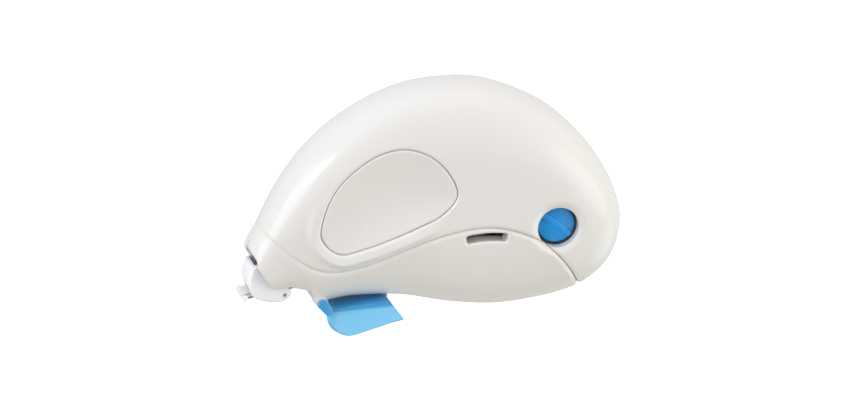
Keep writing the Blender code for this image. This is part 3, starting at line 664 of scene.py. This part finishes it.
def mouth_drawn(station, angle, side):
    """The skin, but the front's upper mouth rim stands behind the back's, so the inside shows."""
    share = np.clip(1 - station / MOUTH_REACH, 0, 1) ** 2 * (1 - ramp(*MOUTH_ANGLES, angle))
    return skin(station, angle) + np.outer(MOUTH_BACK[side] * share, (1, 0, 0))


def lower_case(name, side):
    case_map = case_table()
    bm = map_grid(case_map)
    if side > 0:
        for knob_reach, window_reach in zip(KNOB_FINER, WINDOW_FINER):
            spots = skin(*wrapped(case_map, bm))
            near_window = distance_to(spots, window_curve) < window_reach
            split_where(bm, within(from_knob(spots), knob_reach) | near_window)
    station, angle = wrapped(case_map, bm)
    spots, normal = mouth_drawn(station, angle, side), skin_normal(station, angle)
    mouth = mouth_drawn(np.zeros(FINE), np.linspace(0, BOTTOM, FINE), side)
    from_seam = distance_to(spots, skin(*case_seam))
    lift = -rolled(from_seam, *CASE_LIP) * seam_strength(station)
    lift -= rolled(distance_to(spots, mouth), *MOUTH_LIP)
    belly = BELLY_SINK * (1 - np.exp(-from_seam / BELLY_REACH))
    lift -= belly * ramp(*BELLY_STARTS, station) * normal[:, 2]
    wall = WALL * (MOUTH_THIN + (1 - MOUTH_THIN) * ramp(0, MOUTH_REACH, station))
    if side > 0:
        from_window = distance_to(spots, window_curve)
        lift -= knob_rim(spots)
        lift -= rolled(from_window, *WINDOW_LIP)
        collar = WINDOW_COLLAR * (1 - ramp(*WINDOW_COLLAR_FADE, from_window))
        wall += np.maximum(collar, knob_collar(spots))
    piece = wall_piece(name, bm, spots, normal, lift, wall, side)
    boss_span = sorted((side * BOSS_FOOT, side * BOSS_TOP))
    join_cut(piece, slab(circle(HINGE, BOSS_RADIUS, BOSS_STEPS), *boss_span), "UNION")
    bore_span = sorted((-side * CUT_LOW, side * CUT_HIGH))
    tools = [slab(circle(HINGE, HINGE_BORE, BORE_STEPS), *bore_span),
             slab(THROAT, -THROAT_HALF, THROAT_HALF),
             slab(TAPE_SLOT, -TAPE_SLOT_HALF, TAPE_SLOT_HALF)]
    if side > 0:
        tools += [knob_hole_tool(), slab(window_ring, CUT_LOW, CUT_HIGH)]
    for tool in tools:
        join_cut(piece, tool, "DIFFERENCE")
    return piece


both_sides("lower_case_", "lower_case_shell_", lower_case)

# %% [markdown]
# ## Grip pads
# Each side has a thumb pad pressed into the opening of the cover. It is a shade softer than the shell
# and dished, deepest in the middle, so a thumb finds it without looking. A round grid makes it: its
# rows run from the middle to the edge, crowded where the edge rolls over.

# %% grip pads
PAD_SINK, PAD_DISH, PAD_FOOT = 0.1, 1.8, 2.6
PAD_EDGE = (0.5, 0.34)
PAD_EDGE_ROWS = [0.0, 0.03, 0.08, 0.15, 0.24, 0.36, 0.5, 0.75, 1.1, 1.6, 2.2]
PAD_COLUMNS, PAD_RINGS = 180, 16


def grid_numbers(bm, columns, rows):
    """Column and row of each vertex of a sheet whose last column is the first again."""
    flat = places(bm)
    column = np.rint(flat[:, 0] * columns).astype(int) % columns
    return column, np.rint(flat[:, 1] * rows).astype(int)


def grip_pad(name, side):
    ring, centre = closed_curve(PAD_OUTLINE, PAD_COLUMNS), np.array(PAD_CENTRE)
    rows = PAD_RINGS + len(PAD_EDGE_ROWS) - 1
    bm = flat_grid(PAD_COLUMNS, rows)
    column, row = grid_numbers(bm, PAD_COLUMNS, rows)
    reach = np.linalg.norm(ring - centre, axis=1)
    shares = np.array([crowd(r, [0], PAD_EDGE_ROWS, PAD_RINGS - 1) / r for r in reach])
    share = shares[column, row]
    station, angle = locate(*(centre + (ring[column] - centre) * share[:, None]).T)
    spots, normal = skin(station, angle), skin_normal(station, angle)
    edge = distance_to(spots, on_skin(pad_ring))
    sink = PAD_SINK + PAD_DISH * (1 - share ** 2) + rolled(edge, *PAD_EDGE)
    return wall_piece(name, bm, spots, normal, -sink, PAD_FOOT, side)


both_sides("grip_pad_", "grip_pad_dished_", grip_pad)

# %% [markdown]
# ## Tension knob
# The blue knob sits sunk in its hole and takes up slack tape when it is turned. Its face has one
# rounded bar across it for the fingertip or a coin. The disc is a spun profile, the bar a slab with
# rolled edges that is joined on.

# %% tension knob
KNOB_RADIUS, KNOB_TOP, KNOB_DISC = 4.05, 6.9, 1.3
KNOB_ROUND, KNOB_FOOT_ROUND, KNOB_DOME, DOME_POINTS = 0.5, 0.2, 0.4, 9
KNOB_NECK, KNOB_NECK_FOOT, POST_RADIUS = 3.2, 4.1, 2.0
RIB_HALF, RIB_HEIGHT, RIB_TURN, RIB_INSET, RIB_ROUND = 0.75, 0.55, -40.0, 0.15, 0.35


def put(bm, spots):
    for vert, (x, y, z) in zip(bm.verts, spots):
        vert.co = (x * MM, y * MM, (z + HALF_THICKNESS) * MM)


def rounded_slab(outline, low, high, radius, steps=5):
    """A slab whose two rims are rolled over."""
    outline = np.asarray(outline, float)
    turns = np.radians(np.linspace(0, 90, steps + 1))
    inset, lift = radius * (1 - np.sin(turns)), radius * (1 - np.cos(turns))
    insets = np.concatenate((inset, inset[::-1]))
    heights = np.concatenate((low + lift, high - lift[::-1]))
    rings = np.array([np.column_stack((grown(outline, -d), np.full(len(outline), z)))
                      for d, z in zip(insets, heights)])
    bm = flat_grid(len(outline), len(insets) - 1)
    column, row = grid_numbers(bm, len(outline), len(insets) - 1)
    put(bm, rings[row, column])
    bmesh.ops.remove_doubles(bm, verts=bm.verts, dist=WELD * MM)
    bmesh.ops.holes_fill(bm, edges=[edge for edge in bm.edges if edge.is_boundary], sides=0)
    bmesh.ops.recalc_face_normals(bm, faces=bm.faces)
    return bm


def capsule(start, end, radius, count=14, end_radius=None):
    """Outline of a bar with two round ends, the far one of another radius if asked."""
    end_radius = end_radius or radius
    heading = math.degrees(math.atan2(end[1] - start[1], end[0] - start[0]))
    far = arc(end, end_radius, heading - 90, heading + 90, count)
    return far + arc(start, radius, heading + 90, heading + 270, count)


def fillet(radius, height, size, outward, count=7):
    """Quarter round of a spun disc, from its top out to the wall or from the wall in below."""
    turns = np.radians(np.linspace(90, 0, count) if outward else np.linspace(0, -90, count))
    centre = height - size if outward else height + size
    return [(radius - size + size * math.cos(a), centre + size * math.sin(a)) for a in turns]


def tension_knob():
    low = (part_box("tension_knob")[0][2] / MM) - HALF_THICKNESS
    foot = KNOB_TOP - KNOB_DISC
    flat = KNOB_RADIUS - KNOB_ROUND
    dome = np.linspace(0, 1, DOME_POINTS)[:-1]
    profile = [(flat * r, KNOB_TOP + KNOB_DOME * (1 - r * r)) for r in dome]
    profile += fillet(KNOB_RADIUS, KNOB_TOP, KNOB_ROUND, True)
    profile += fillet(KNOB_RADIUS, foot, KNOB_FOOT_ROUND, False)
    profile += [(KNOB_NECK, foot), (KNOB_NECK, KNOB_NECK_FOOT), (POST_RADIUS, KNOB_NECK_FOOT),
                (POST_RADIUS, low), (0, low)]
    piece = new_piece("tension_knob_turned", turned(profile, KNOB_AXIS, ROUND_STEPS))
    run = KNOB_RADIUS - RIB_HALF - RIB_INSET
    ends = arc(KNOB_AXIS, run, RIB_TURN - 180, RIB_TURN, 2)
    span = KNOB_TOP - KNOB_DISC / 2, KNOB_TOP + RIB_HEIGHT
    join_cut(piece, rounded_slab(capsule(*ends, RIB_HALF), *span, RIB_ROUND), "UNION")
    return piece


pieces["tension_knob"] = tension_knob()
print("knob", len(pieces["tension_knob"].data.polygons), "faces")

# %% [markdown]
# ## Tip holder and nib
# A milky plastic block in the mouth carries the nib. It is a rounded slab with a channel for the
# springy leaf and the tape. The nib ends in a cross bar with two end flanges that keep the tape on.
# A small pin crosses the holder, and its ends show in the sides.

# %% tip holder and nib
HOLDER_OUTLINE = [
    (-46.9, -12.0), (-47.6, -13.2), (-48.0, -15.3), (-47.6, -17.6), (-46.8, -18.9), (-45.0, -19.7),
    (-42.4, -20.2), (-40.3, -19.9), (-39.2, -18.9), (-39.1, -17.6), (-40.4, -16.2), (-44.8, -12.1),
]
CHANNEL = [(-46.6, -9.0), (-46.6, -17.0), (-50.0, -17.0), (-50.0, -22.0), (-37.0, -22.0), (-37.0, -9.0)]
HOLDER_HALF, CHANNEL_HALF, HOLDER_ROUND, HOLDER_POINTS = 3.9, 2.9, 0.55, 120
TIP_PIN, PIN_RADIUS, PIN_END, PIN_HOLE = (-40.4, -18.6), 0.55, 0.36, 0.42
PIN_SINK, PIN_ROUND, PIN_SLACK, PIN_CUT = 0.12, 0.1, 0.1, 6
PIN_STEPS, PIN_FILLET_POINTS = 32, 4
NIB_BAR, NIB_RADIUS, FLANGE_RADIUS, FLANGE_ROUND = (-48.75, -18.85), 0.42, 0.65, 0.22
NECK_HALF, BAR_HALF, NIB_STEPS = 2.8, 3.8, 40
NIB_ROOT, LEAF_HALF, LEAF_ROUND, TAPE_HALF = (-41.6, -17.5), 0.25, 0.08, 2.5


def mirrored(half):
    """A spun profile, from the half above the middle plane."""
    return half + [(r, -z) for r, z in reversed(half)]


def tip_holder():
    block = rounded_slab(closed_curve(HOLDER_OUTLINE, HOLDER_POINTS), -HOLDER_HALF, HOLDER_HALF,
                         HOLDER_ROUND)
    piece = new_piece("tip_holder_rounded", block)
    join_cut(piece, slab(CHANNEL, -CHANNEL_HALF, CHANNEL_HALF), "DIFFERENCE")
    join_cut(piece, slab(circle(TIP_PIN, PIN_HOLE, PIN_STEPS), -PIN_CUT, PIN_CUT), "DIFFERENCE")
    return piece


def applicator_nib():
    half = [(0, BAR_HALF)] + fillet(FLANGE_RADIUS, BAR_HALF, FLANGE_ROUND, True)
    half += fillet(FLANGE_RADIUS, NECK_HALF, FLANGE_ROUND, False) + [(NIB_RADIUS, NECK_HALF)]
    piece = new_piece("applicator_nib_turned", turned(mirrored(half), NIB_BAR, NIB_STEPS))
    outline = capsule(NIB_BAR, NIB_ROOT, LEAF_HALF, 6)
    join_cut(piece, rounded_slab(outline, -TAPE_HALF, TAPE_HALF, LEAF_ROUND, 2), "UNION")
    return piece


def tip_pin():
    end, shoulder = HOLDER_HALF - PIN_SINK, CHANNEL_HALF - PIN_SLACK
    half = [(0, end)] + fillet(PIN_END, end, PIN_ROUND, True, PIN_FILLET_POINTS)
    half += [(PIN_END, shoulder), (PIN_RADIUS, shoulder)]
    return new_piece("tip_pin_shouldered", turned(mirrored(half), TIP_PIN, PIN_STEPS))


pieces["tip_holder"] = tip_holder()
pieces["tip_pin"] = tip_pin()
pieces["applicator_nib"] = applicator_nib()
print("holder", len(pieces["tip_holder"].data.polygons), "faces, nib",
      len(pieces["applicator_nib"].data.polygons))

# %% [markdown]
# ## Tip guard
# The light blue guard is one bent sheet: a web that follows the belly and two flanks that flare out.
# It swings on ears either side of the horn and snaps over the nib. A grid is wrapped through a few
# stations, given its thickness by Solidify, and its rims are rounded by Bevel. The ears are joined on.
# A station lists x and y of the web and of the free edge. A row of the section lists its shares of
# the web's width, of the flare and of the way down the flank.

# %% tip guard
GUARD_STATIONS = [
    (-31.5, -22.4, -31.5, -23.4), (-30.8, -22.35, -31.0, -24.7), (-29.6, -22.2, -29.9, -25.9),
    (-27.4, -21.95, -27.3, -27.1), (-23.6, -21.6, -22.6, -26.0), (-20.4, -21.4, -18.8, -24.9),
    (-18.2, -21.45, -16.0, -24.3),
]
GUARD_SECTION = [
    (0.0, 0.0, 0.0), (0.55, 0.0, 0.0), (0.85, 0.0, 0.01), (1.0, 0.0, 0.05), (1.0, 0.02, 0.17),
    (1.0, 0.2, 0.27), (1.0, 0.6, 0.62), (1.0, 1.0, 1.0),
]
GUARD_FOLD, GUARD_FREE, GUARD_THICKNESS = 5.05, 8.0, 0.8
GUARD_COLUMNS, GUARD_ROWS = 70, 96
GUARD_ROUND, GUARD_ROUND_STEPS, GUARD_ROUND_ANGLE = 0.25, 3, 55.0
GUARD_NOTCH = [(-34.0, -24.5), (-30.4, -24.5), (-30.4, -19.0), (-34.0, -19.0)]
NOTCH_HALF = 5.5
EAR_FOOT, EAR_TOP, EAR_RADIUS, EAR_ROUND, EAR_POINTS = 5.9, 6.7, 1.1, 0.2, 20
EAR_LINK_RADIUS, EAR_END = 0.65, (-31.3, -22.9)
HINGE_PIN_RADIUS, HINGE_PIN_HALF, HINGE_PIN_ROUND, HINGE_PIN_SLACK = 0.6, 6.3, 0.15, 0.1


def tip_guard():
    bm = flat_grid(GUARD_COLUMNS, GUARD_ROWS)
    flat = places(bm)
    along = flat[:, 0] * (len(GUARD_STATIONS) - 1)
    web_x, web_y, free_x, free_y = spline(GUARD_STATIONS, along).T
    across = flat[:, 1] * 2 - 1
    width, flare, down = spline(GUARD_SECTION, np.abs(across) * (len(GUARD_SECTION) - 1)).T
    half = GUARD_FOLD * width + (GUARD_FREE - GUARD_FOLD) * flare
    x, y = web_x + (free_x - web_x) * down, web_y + (free_y - web_y) * down
    put(bm, np.column_stack((x, y, np.sign(across) * half)))
    piece = new_piece("tip_guard_folded", bm)
    wall = piece.modifiers.new("wall", "SOLIDIFY")
    wall.thickness, wall.offset, wall.use_even_offset = GUARD_THICKNESS * MM, 1.0, True
    rims = piece.modifiers.new("rims", "BEVEL")
    rims.width, rims.segments, rims.limit_method = GUARD_ROUND * MM, GUARD_ROUND_STEPS, "ANGLE"
    rims.angle_limit = math.radians(GUARD_ROUND_ANGLE)
    keep_modified(piece)
    join_cut(piece, slab(GUARD_NOTCH, -NOTCH_HALF, NOTCH_HALF), "DIFFERENCE")
    ear = capsule(HINGE, EAR_END, EAR_RADIUS, EAR_POINTS, EAR_LINK_RADIUS)
    for span in ((EAR_FOOT, EAR_TOP), (-EAR_TOP, -EAR_FOOT)):
        join_cut(piece, rounded_slab(ear, *span, EAR_ROUND, 3), "UNION")
    bore_half = HINGE_PIN_HALF + HINGE_PIN_SLACK
    bore = slab(circle(HINGE, HINGE_BORE, BORE_STEPS), -bore_half, bore_half)
    join_cut(piece, bore, "DIFFERENCE")
    return piece


def guard_hinge_pin():
    half = [(0, HINGE_PIN_HALF)]
    half += fillet(HINGE_PIN_RADIUS, HINGE_PIN_HALF, HINGE_PIN_ROUND, True, PIN_FILLET_POINTS)
    return new_piece("guard_hinge_pin_blind", turned(mirrored(half), HINGE, PIN_STEPS))


pieces["tip_guard"] = tip_guard()
pieces["guard_hinge_pin"] = guard_hinge_pin()
print("guard", len(pieces["tip_guard"].data.polygons), "faces")

# %% [markdown]
# ## Each piece on its body
# The frame knows which body every CAD node rides on. A new piece takes the place of its node and rides
# on the same body, so the guard still swings and the knob still turns with the take-up reel.

# %% ride and replace
BODY_OF = {"tension_knob": "takeup_reel", "tip_guard": "guard"}
for node, piece in pieces.items():
    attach(piece, BODY_OF.get(node, "housing"))
    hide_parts(node)
print(len(pieces), "pieces take the place of CAD nodes")

# %% [markdown]
# ## Materials
# Moulded plastic is never one flat colour. Its pigment drifts a little, its gloss is uneven where the
# mould was polished by hand, and close up the surface has a faint orange peel. One shared node group
# gives those three things as plain values, and each material feeds them to its own shader.

# %% shared finish group
DRIFT_SCALE, DRIFT_DETAIL, GRAIN_DETAIL, HALFWAY = 60.0, 3.0, 2.0, 0.5
FINISH_INPUTS = (("Vector", "Vector"), ("Colour", "Color"), ("Second Colour", "Color"),
                 ("Roughness", "Float"), ("Spread", "Float"), ("Grain Scale", "Float"))
FINISH_OUTPUTS = (("Colour", "Color"), ("Roughness", "Float"), ("Height", "Float"))


def add_nodes(tree, *kinds):
    return [tree.nodes.new("ShaderNode" + kind) for kind in kinds]


def fill(node, values):
    for socket, value in values.items():
        node.inputs[socket].default_value = value


def wire(tree, *runs):
    """Links sockets; a run names a node, its output, the next node and its input."""
    for source, output, target, socket in runs:
        tree.links.new(source.outputs[output], target.inputs[socket])


def finish_group():
    group = bpy.data.node_groups.new("moulded_finish", "ShaderNodeTree")
    for way, sockets in (("INPUT", FINISH_INPUTS), ("OUTPUT", FINISH_OUTPUTS)):
        for name, kind in sockets:
            group.interface.new_socket(name, in_out=way, socket_type="NodeSocket" + kind)
    given, out = group.nodes.new("NodeGroupInput"), group.nodes.new("NodeGroupOutput")
    drift, grain, blend, centred, spread = add_nodes(
        group, "TexNoise", "TexNoise", "Mix", "Math", "Math")
    fill(drift, {"Scale": DRIFT_SCALE, "Detail": DRIFT_DETAIL})
    fill(grain, {"Detail": GRAIN_DETAIL})
    blend.data_type = "RGBA"
    centred.operation, spread.operation = "SUBTRACT", "MULTIPLY_ADD"
    fill(centred, {1: HALFWAY})
    wire(group, (given, "Vector", drift, "Vector"), (given, "Vector", grain, "Vector"),
         (given, "Grain Scale", grain, "Scale"), (drift, "Fac", blend, "Factor"),
         (given, "Colour", blend, "A"), (given, "Second Colour", blend, "B"),
         (blend, "Result", out, "Colour"), (drift, "Fac", centred, 0), (centred, 0, spread, 0),
         (given, "Spread", spread, 1), (given, "Roughness", spread, 2),
         (spread, 0, out, "Roughness"), (grain, "Fac", out, "Height"))
    return group


FINISH = finish_group()
print("finish group with", len(FINISH.nodes), "nodes")

# %% [markdown]
# A material has two close colours, a roughness, its spread, and the strength of the grain. A coat,
# metal or light under the surface is named only where it occurs.

# %% materials
GRAIN_DEPTH, COAT_ROUGHNESS, SUBSURFACE_DEPTH = 0.0002, 0.12, 0.0015
FINISHES = {
    "ivory_gloss": ((0.80, 0.787, 0.755), (0.775, 0.76, 0.725), 0.30, 0.08, 0.03, {"coat": 0.4}),
    "ivory_pad": ((0.775, 0.762, 0.73), (0.75, 0.735, 0.698), 0.42, 0.08, 0.08, {"grain": 2600.0}),
    "blue_knob": ((0.02, 0.36, 0.85), (0.016, 0.31, 0.77), 0.28, 0.08, 0.03, {"coat": 0.3}),
    "blue_guard": ((0.20, 0.58, 0.84), (0.17, 0.53, 0.80), 0.30, 0.08, 0.03,
                   {"coat": 0.2, "subsurface": 0.1}),
    "milky_tip": ((0.91, 0.92, 0.93), (0.86, 0.87, 0.89), 0.38, 0.08, 0.03, {"subsurface": 0.25}),
    "grey_inner": ((0.30, 0.31, 0.33), (0.25, 0.26, 0.28), 0.45, 0.1, 0.06, {}),
    "white_inner": ((0.82, 0.82, 0.82), (0.77, 0.77, 0.78), 0.40, 0.1, 0.05, {}),
    "tape_white": ((0.84, 0.84, 0.83), (0.79, 0.79, 0.78), 0.55, 0.1, 0.1, {"grain": 3000.0}),
    "tape_liner": ((0.66, 0.68, 0.70), (0.60, 0.62, 0.65), 0.38, 0.1, 0.05, {}),
    "steel_pin": ((0.62, 0.57, 0.53), (0.54, 0.49, 0.45), 0.35, 0.1, 0.05,
                  {"grain": 2500.0, "metallic": 1.0}),
}


def finished(name, colour, second, roughness, spread, bump,
             grain=1500.0, coat=0.0, metallic=0.0, subsurface=0.0):
    mat = bpy.data.materials.new(name)
    mat.use_nodes = True
    tree = mat.node_tree
    shader = tree.nodes["Principled BSDF"]
    place, finish, relief = add_nodes(tree, "TexCoord", "Group", "Bump")
    finish.node_tree = FINISH
    fill(finish, {"Colour": (*colour, 1), "Second Colour": (*second, 1), "Roughness": roughness,
                  "Spread": spread, "Grain Scale": grain})
    fill(relief, {"Strength": bump, "Distance": GRAIN_DEPTH})
    wire(tree, (place, "Object", finish, "Vector"), (finish, "Colour", shader, "Base Color"),
         (finish, "Roughness", shader, "Roughness"), (finish, "Height", relief, "Height"),
         (relief, "Normal", shader, "Normal"))
    fill(shader, {"Metallic": metallic, "Coat Weight": coat, "Coat Roughness": COAT_ROUGHNESS,
                  "Subsurface Weight": subsurface, "Subsurface Scale": SUBSURFACE_DEPTH})
    return mat


LOOKS = {name: finished(name, *row[:-1], **row[-1]) for name, row in FINISHES.items()}
print(len(LOOKS), "materials")

# %% [markdown]
# The guard's web is painted a deeper blue than its flanks. This is painted shade for the shadow that
# the belly casts on the web. The height of a point over a line along the crease tells the two apart.

# %% painted web shade
# The darker blue painted on the web as shade, and the crease line where the painted shade starts.
CREASE_ACROSS, CREASE_LOW, CREASE_HIGH = (-0.045, 1, 0), -0.0217, -0.0212
WEB_SHADE_TONE = (0.30, 0.62, 0.84)


# Painted shade: the guard's colour is multiplied by a darker blue above the crease, where the belly
# shades the web.
def painted_web_shade(tree):
    shader = tree.nodes["Principled BSDF"]
    finish = shader.inputs["Base Color"].links[0].from_node
    place, height, share, blend = add_nodes(tree, "TexCoord", "VectorMath", "MapRange", "Mix")
    height.operation, share.interpolation_type = "DOT_PRODUCT", "SMOOTHSTEP"
    blend.data_type, blend.blend_type = "RGBA", "MULTIPLY"
    fill(height, {1: CREASE_ACROSS})
    fill(share, {"From Min": CREASE_LOW, "From Max": CREASE_HIGH})
    fill(blend, {"B": (*WEB_SHADE_TONE, 1)})
    wire(tree, (place, "Object", height, 0), (height, "Value", share, "Value"),
         (share, "Result", blend, "Factor"), (finish, "Colour", blend, "A"),
         (blend, "Result", shader, "Base Color"))


painted_web_shade(LOOKS["blue_guard"].node_tree)
print("web tone", WEB_SHADE_TONE)

# %% [markdown]
# New pieces get a slot named after the finish. The inner works keep their CAD meshes and only get a
# material.

# %% slots
SLOT_OF = {
    "ivory_gloss": ("upper_cover_front", "upper_cover_back", "lower_case_front", "lower_case_back"),
    "ivory_pad": ("grip_pad_front", "grip_pad_back"),
    "blue_knob": ("tension_knob",),
    "blue_guard": ("tip_guard",),
    "milky_tip": ("tip_holder", "applicator_nib"),
    "grey_inner": ("reel_frame", "supply_retainer", "feed_roller", "return_roller"),
    "white_inner": ("supply_gear", "takeup_gear", "supply_spool", "takeup_spool"),
    "tape_white": ("supply_tape_roll", "tape_feed_run"),
    "tape_liner": ("takeup_tape_roll", "tape_return_run"),
    "steel_pin": ("clutch_ring", "feed_roller_pin", "return_roller_pin", "tip_pin", "guard_hinge_pin"),
}
for slot, nodes_here in SLOT_OF.items():
    for node in nodes_here:
        piece = pieces.get(node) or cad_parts[node]
        if not piece.material_slots:
            piece.data.materials.append(LOOKS[slot])
        for place in piece.material_slots:
            place.material = LOOKS[slot]
print(sum(map(len, SLOT_OF.values())), "of", len(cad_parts), "nodes have a worked finish")

# %% [markdown]
# ## Camera
# The photograph looks down on the front, a little from the tip and from the top edge, through a long
# lens. The camera is built from its own right, up and back directions.

# %% camera
CAMERA_RIGHT = Vector((0.97437, 0, 0.22495))
CAMERA_UP = Vector((0.07694, 0.93969, -0.33325))
CAMERA_BACK = Vector((-0.21138, 0.34202, 0.91561))
VIEW_WIDTH, VIEW_RIGHT, VIEW_UP = 177.9, -8.96, -3.125
LENS, SENSOR = 800.0, 36.0

middle = Vector((0, 0, HALF_THICKNESS))
target = (CAMERA_RIGHT * VIEW_RIGHT + CAMERA_UP * VIEW_UP + middle) * MM
distance = VIEW_WIDTH * LENS / SENSOR * MM
lens = bpy.data.cameras.new("camera")
lens.lens, lens.sensor_width, lens.sensor_fit = LENS, SENSOR, "HORIZONTAL"
lens.clip_start, lens.clip_end = 0.05, 20.0
camera = bpy.data.objects.new("camera", lens)
turn = Matrix((CAMERA_RIGHT, CAMERA_UP, CAMERA_BACK)).transposed().to_4x4()
camera.matrix_world = Matrix.Translation(target + CAMERA_BACK * distance) @ turn
scene.collection.objects.link(camera)
scene.camera = camera
print("camera %.3f m away" % distance)

# %% [markdown]
# ## Light
# The photo's light is broad and almost without shadows. Four soft boxes stand round the object, and a
# fifth small lamp, which only gloss can see, draws the bright streak on the cover. The world fills in
# the rest. It has one part for each side, strongest straight on and each with its own tint.

# %% light
LAMP_AIM = Vector((-0.008, 0, 0.01))
SOFT_BOXES = (
    ("top", (-0.10, 0.65, 0.35), 0.9, 0.6, (1, 1, 1)),
    ("left", (-0.60, 0.15, 0.35), 0.5, 1.6, (0.76, 0.86, 1.0)),
    ("right", (0.50, 0.0, 0.45), 0.4, 0.75, (1.0, 0.9, 1.0)),
    ("low_right", (0.48, -0.36, 0.2), 0.4, 0.75, (0.6, 0.8, 1.0)),
    ("glint", (-0.401, 0.273, 0.411), 0.12, 0.25, (1, 1, 1)),
)
SKY_PARTS = (
    ((0, 1, 0), (0.82, 0.80, 0.98)), ((0, -1, 0), (0.08, 0.0, 0.0)),
    ((-1, 0, 0), (1.10, 1.06, 0.89)), ((1, 0, 0), (1.14, 1.17, 0.88)),
    ((0, 0, 1), (0.05, 0.05, 0.07)),
)

for name, at, size, power, tint in SOFT_BOXES:
    lamp = bpy.data.lights.new(name, "AREA")
    lamp.shape, lamp.size, lamp.energy, lamp.color = "DISK", size, power, tint
    holder, spot = bpy.data.objects.new(name, lamp), Vector(at)
    facing = (spot - LAMP_AIM).to_track_quat("Z", "Y").to_matrix().to_4x4()
    holder.matrix_world = Matrix.Translation(spot) @ facing
    holder.visible_diffuse = name != "glint"
    scene.collection.objects.link(holder)

world = bpy.data.worlds.new("studio")
world.use_nodes = True
sky = world.node_tree
looking, = add_nodes(sky, "TexCoord")
glow = None
for axis, tint in SKY_PARTS:
    facing, kept, part = add_nodes(sky, "VectorMath", "Math", "VectorMath")
    facing.operation, kept.operation, part.operation = "DOT_PRODUCT", "MAXIMUM", "MULTIPLY_ADD"
    for node, value in ((facing, axis), (kept, 0.0), (part, tint)):
        fill(node, {1: value})
    wire(sky, (looking, "Generated", facing, 0), (facing, "Value", kept, 0), (kept, 0, part, 0))
    if glow:
        wire(sky, (glow, "Vector", part, 2))
    glow = part
wire(sky, (glow, "Vector", sky.nodes["Background"], "Color"))
scene.world = world
print(len(SOFT_BOXES), "lamps and a sky of", len(SKY_PARTS), "parts")

# %% [markdown]
# ## Floor
# The floor lies under the lowest point of the dressed model. To the camera, and through the milky tip,
# it glows white. To all other rays it is plain pale paper, which lights the object from below.

# %% floor
FLOOR_HALF = 3.0
PAPER, PAPER_ROUGHNESS, PAPER_GLOW = (0.8, 0.8, 0.8, 1), 0.9, 0.75

bm = bmesh.new()
rest_height = Matrix.Translation((0, 0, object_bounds()[0][2]))
bmesh.ops.create_grid(bm, x_segments=1, y_segments=1, size=FLOOR_HALF, matrix=rest_height)
floor = new_piece("floor", bm)
paper = bpy.data.materials.new("white_paper")
paper.use_nodes = True
shader = paper.node_tree.nodes["Principled BSDF"]
path, seen, weak = add_nodes(paper.node_tree, "LightPath", "Math", "Math")
seen.operation, weak.operation = "MAXIMUM", "MULTIPLY"
fill(weak, {1: PAPER_GLOW})
fill(shader, {"Base Color": PAPER, "Roughness": PAPER_ROUGHNESS, "Specular IOR Level": 0.0,
              "Emission Color": (1, 1, 1, 1)})
wire(paper.node_tree, (path, "Is Camera Ray", seen, 0), (path, "Is Transmission Ray", seen, 1),
     (seen, 0, weak, 0), (weak, 0, shader, "Emission Strength"))
floor.data.materials.append(paper)
print("white floor at %.2f mm" % (rest_height.translation.z / MM))
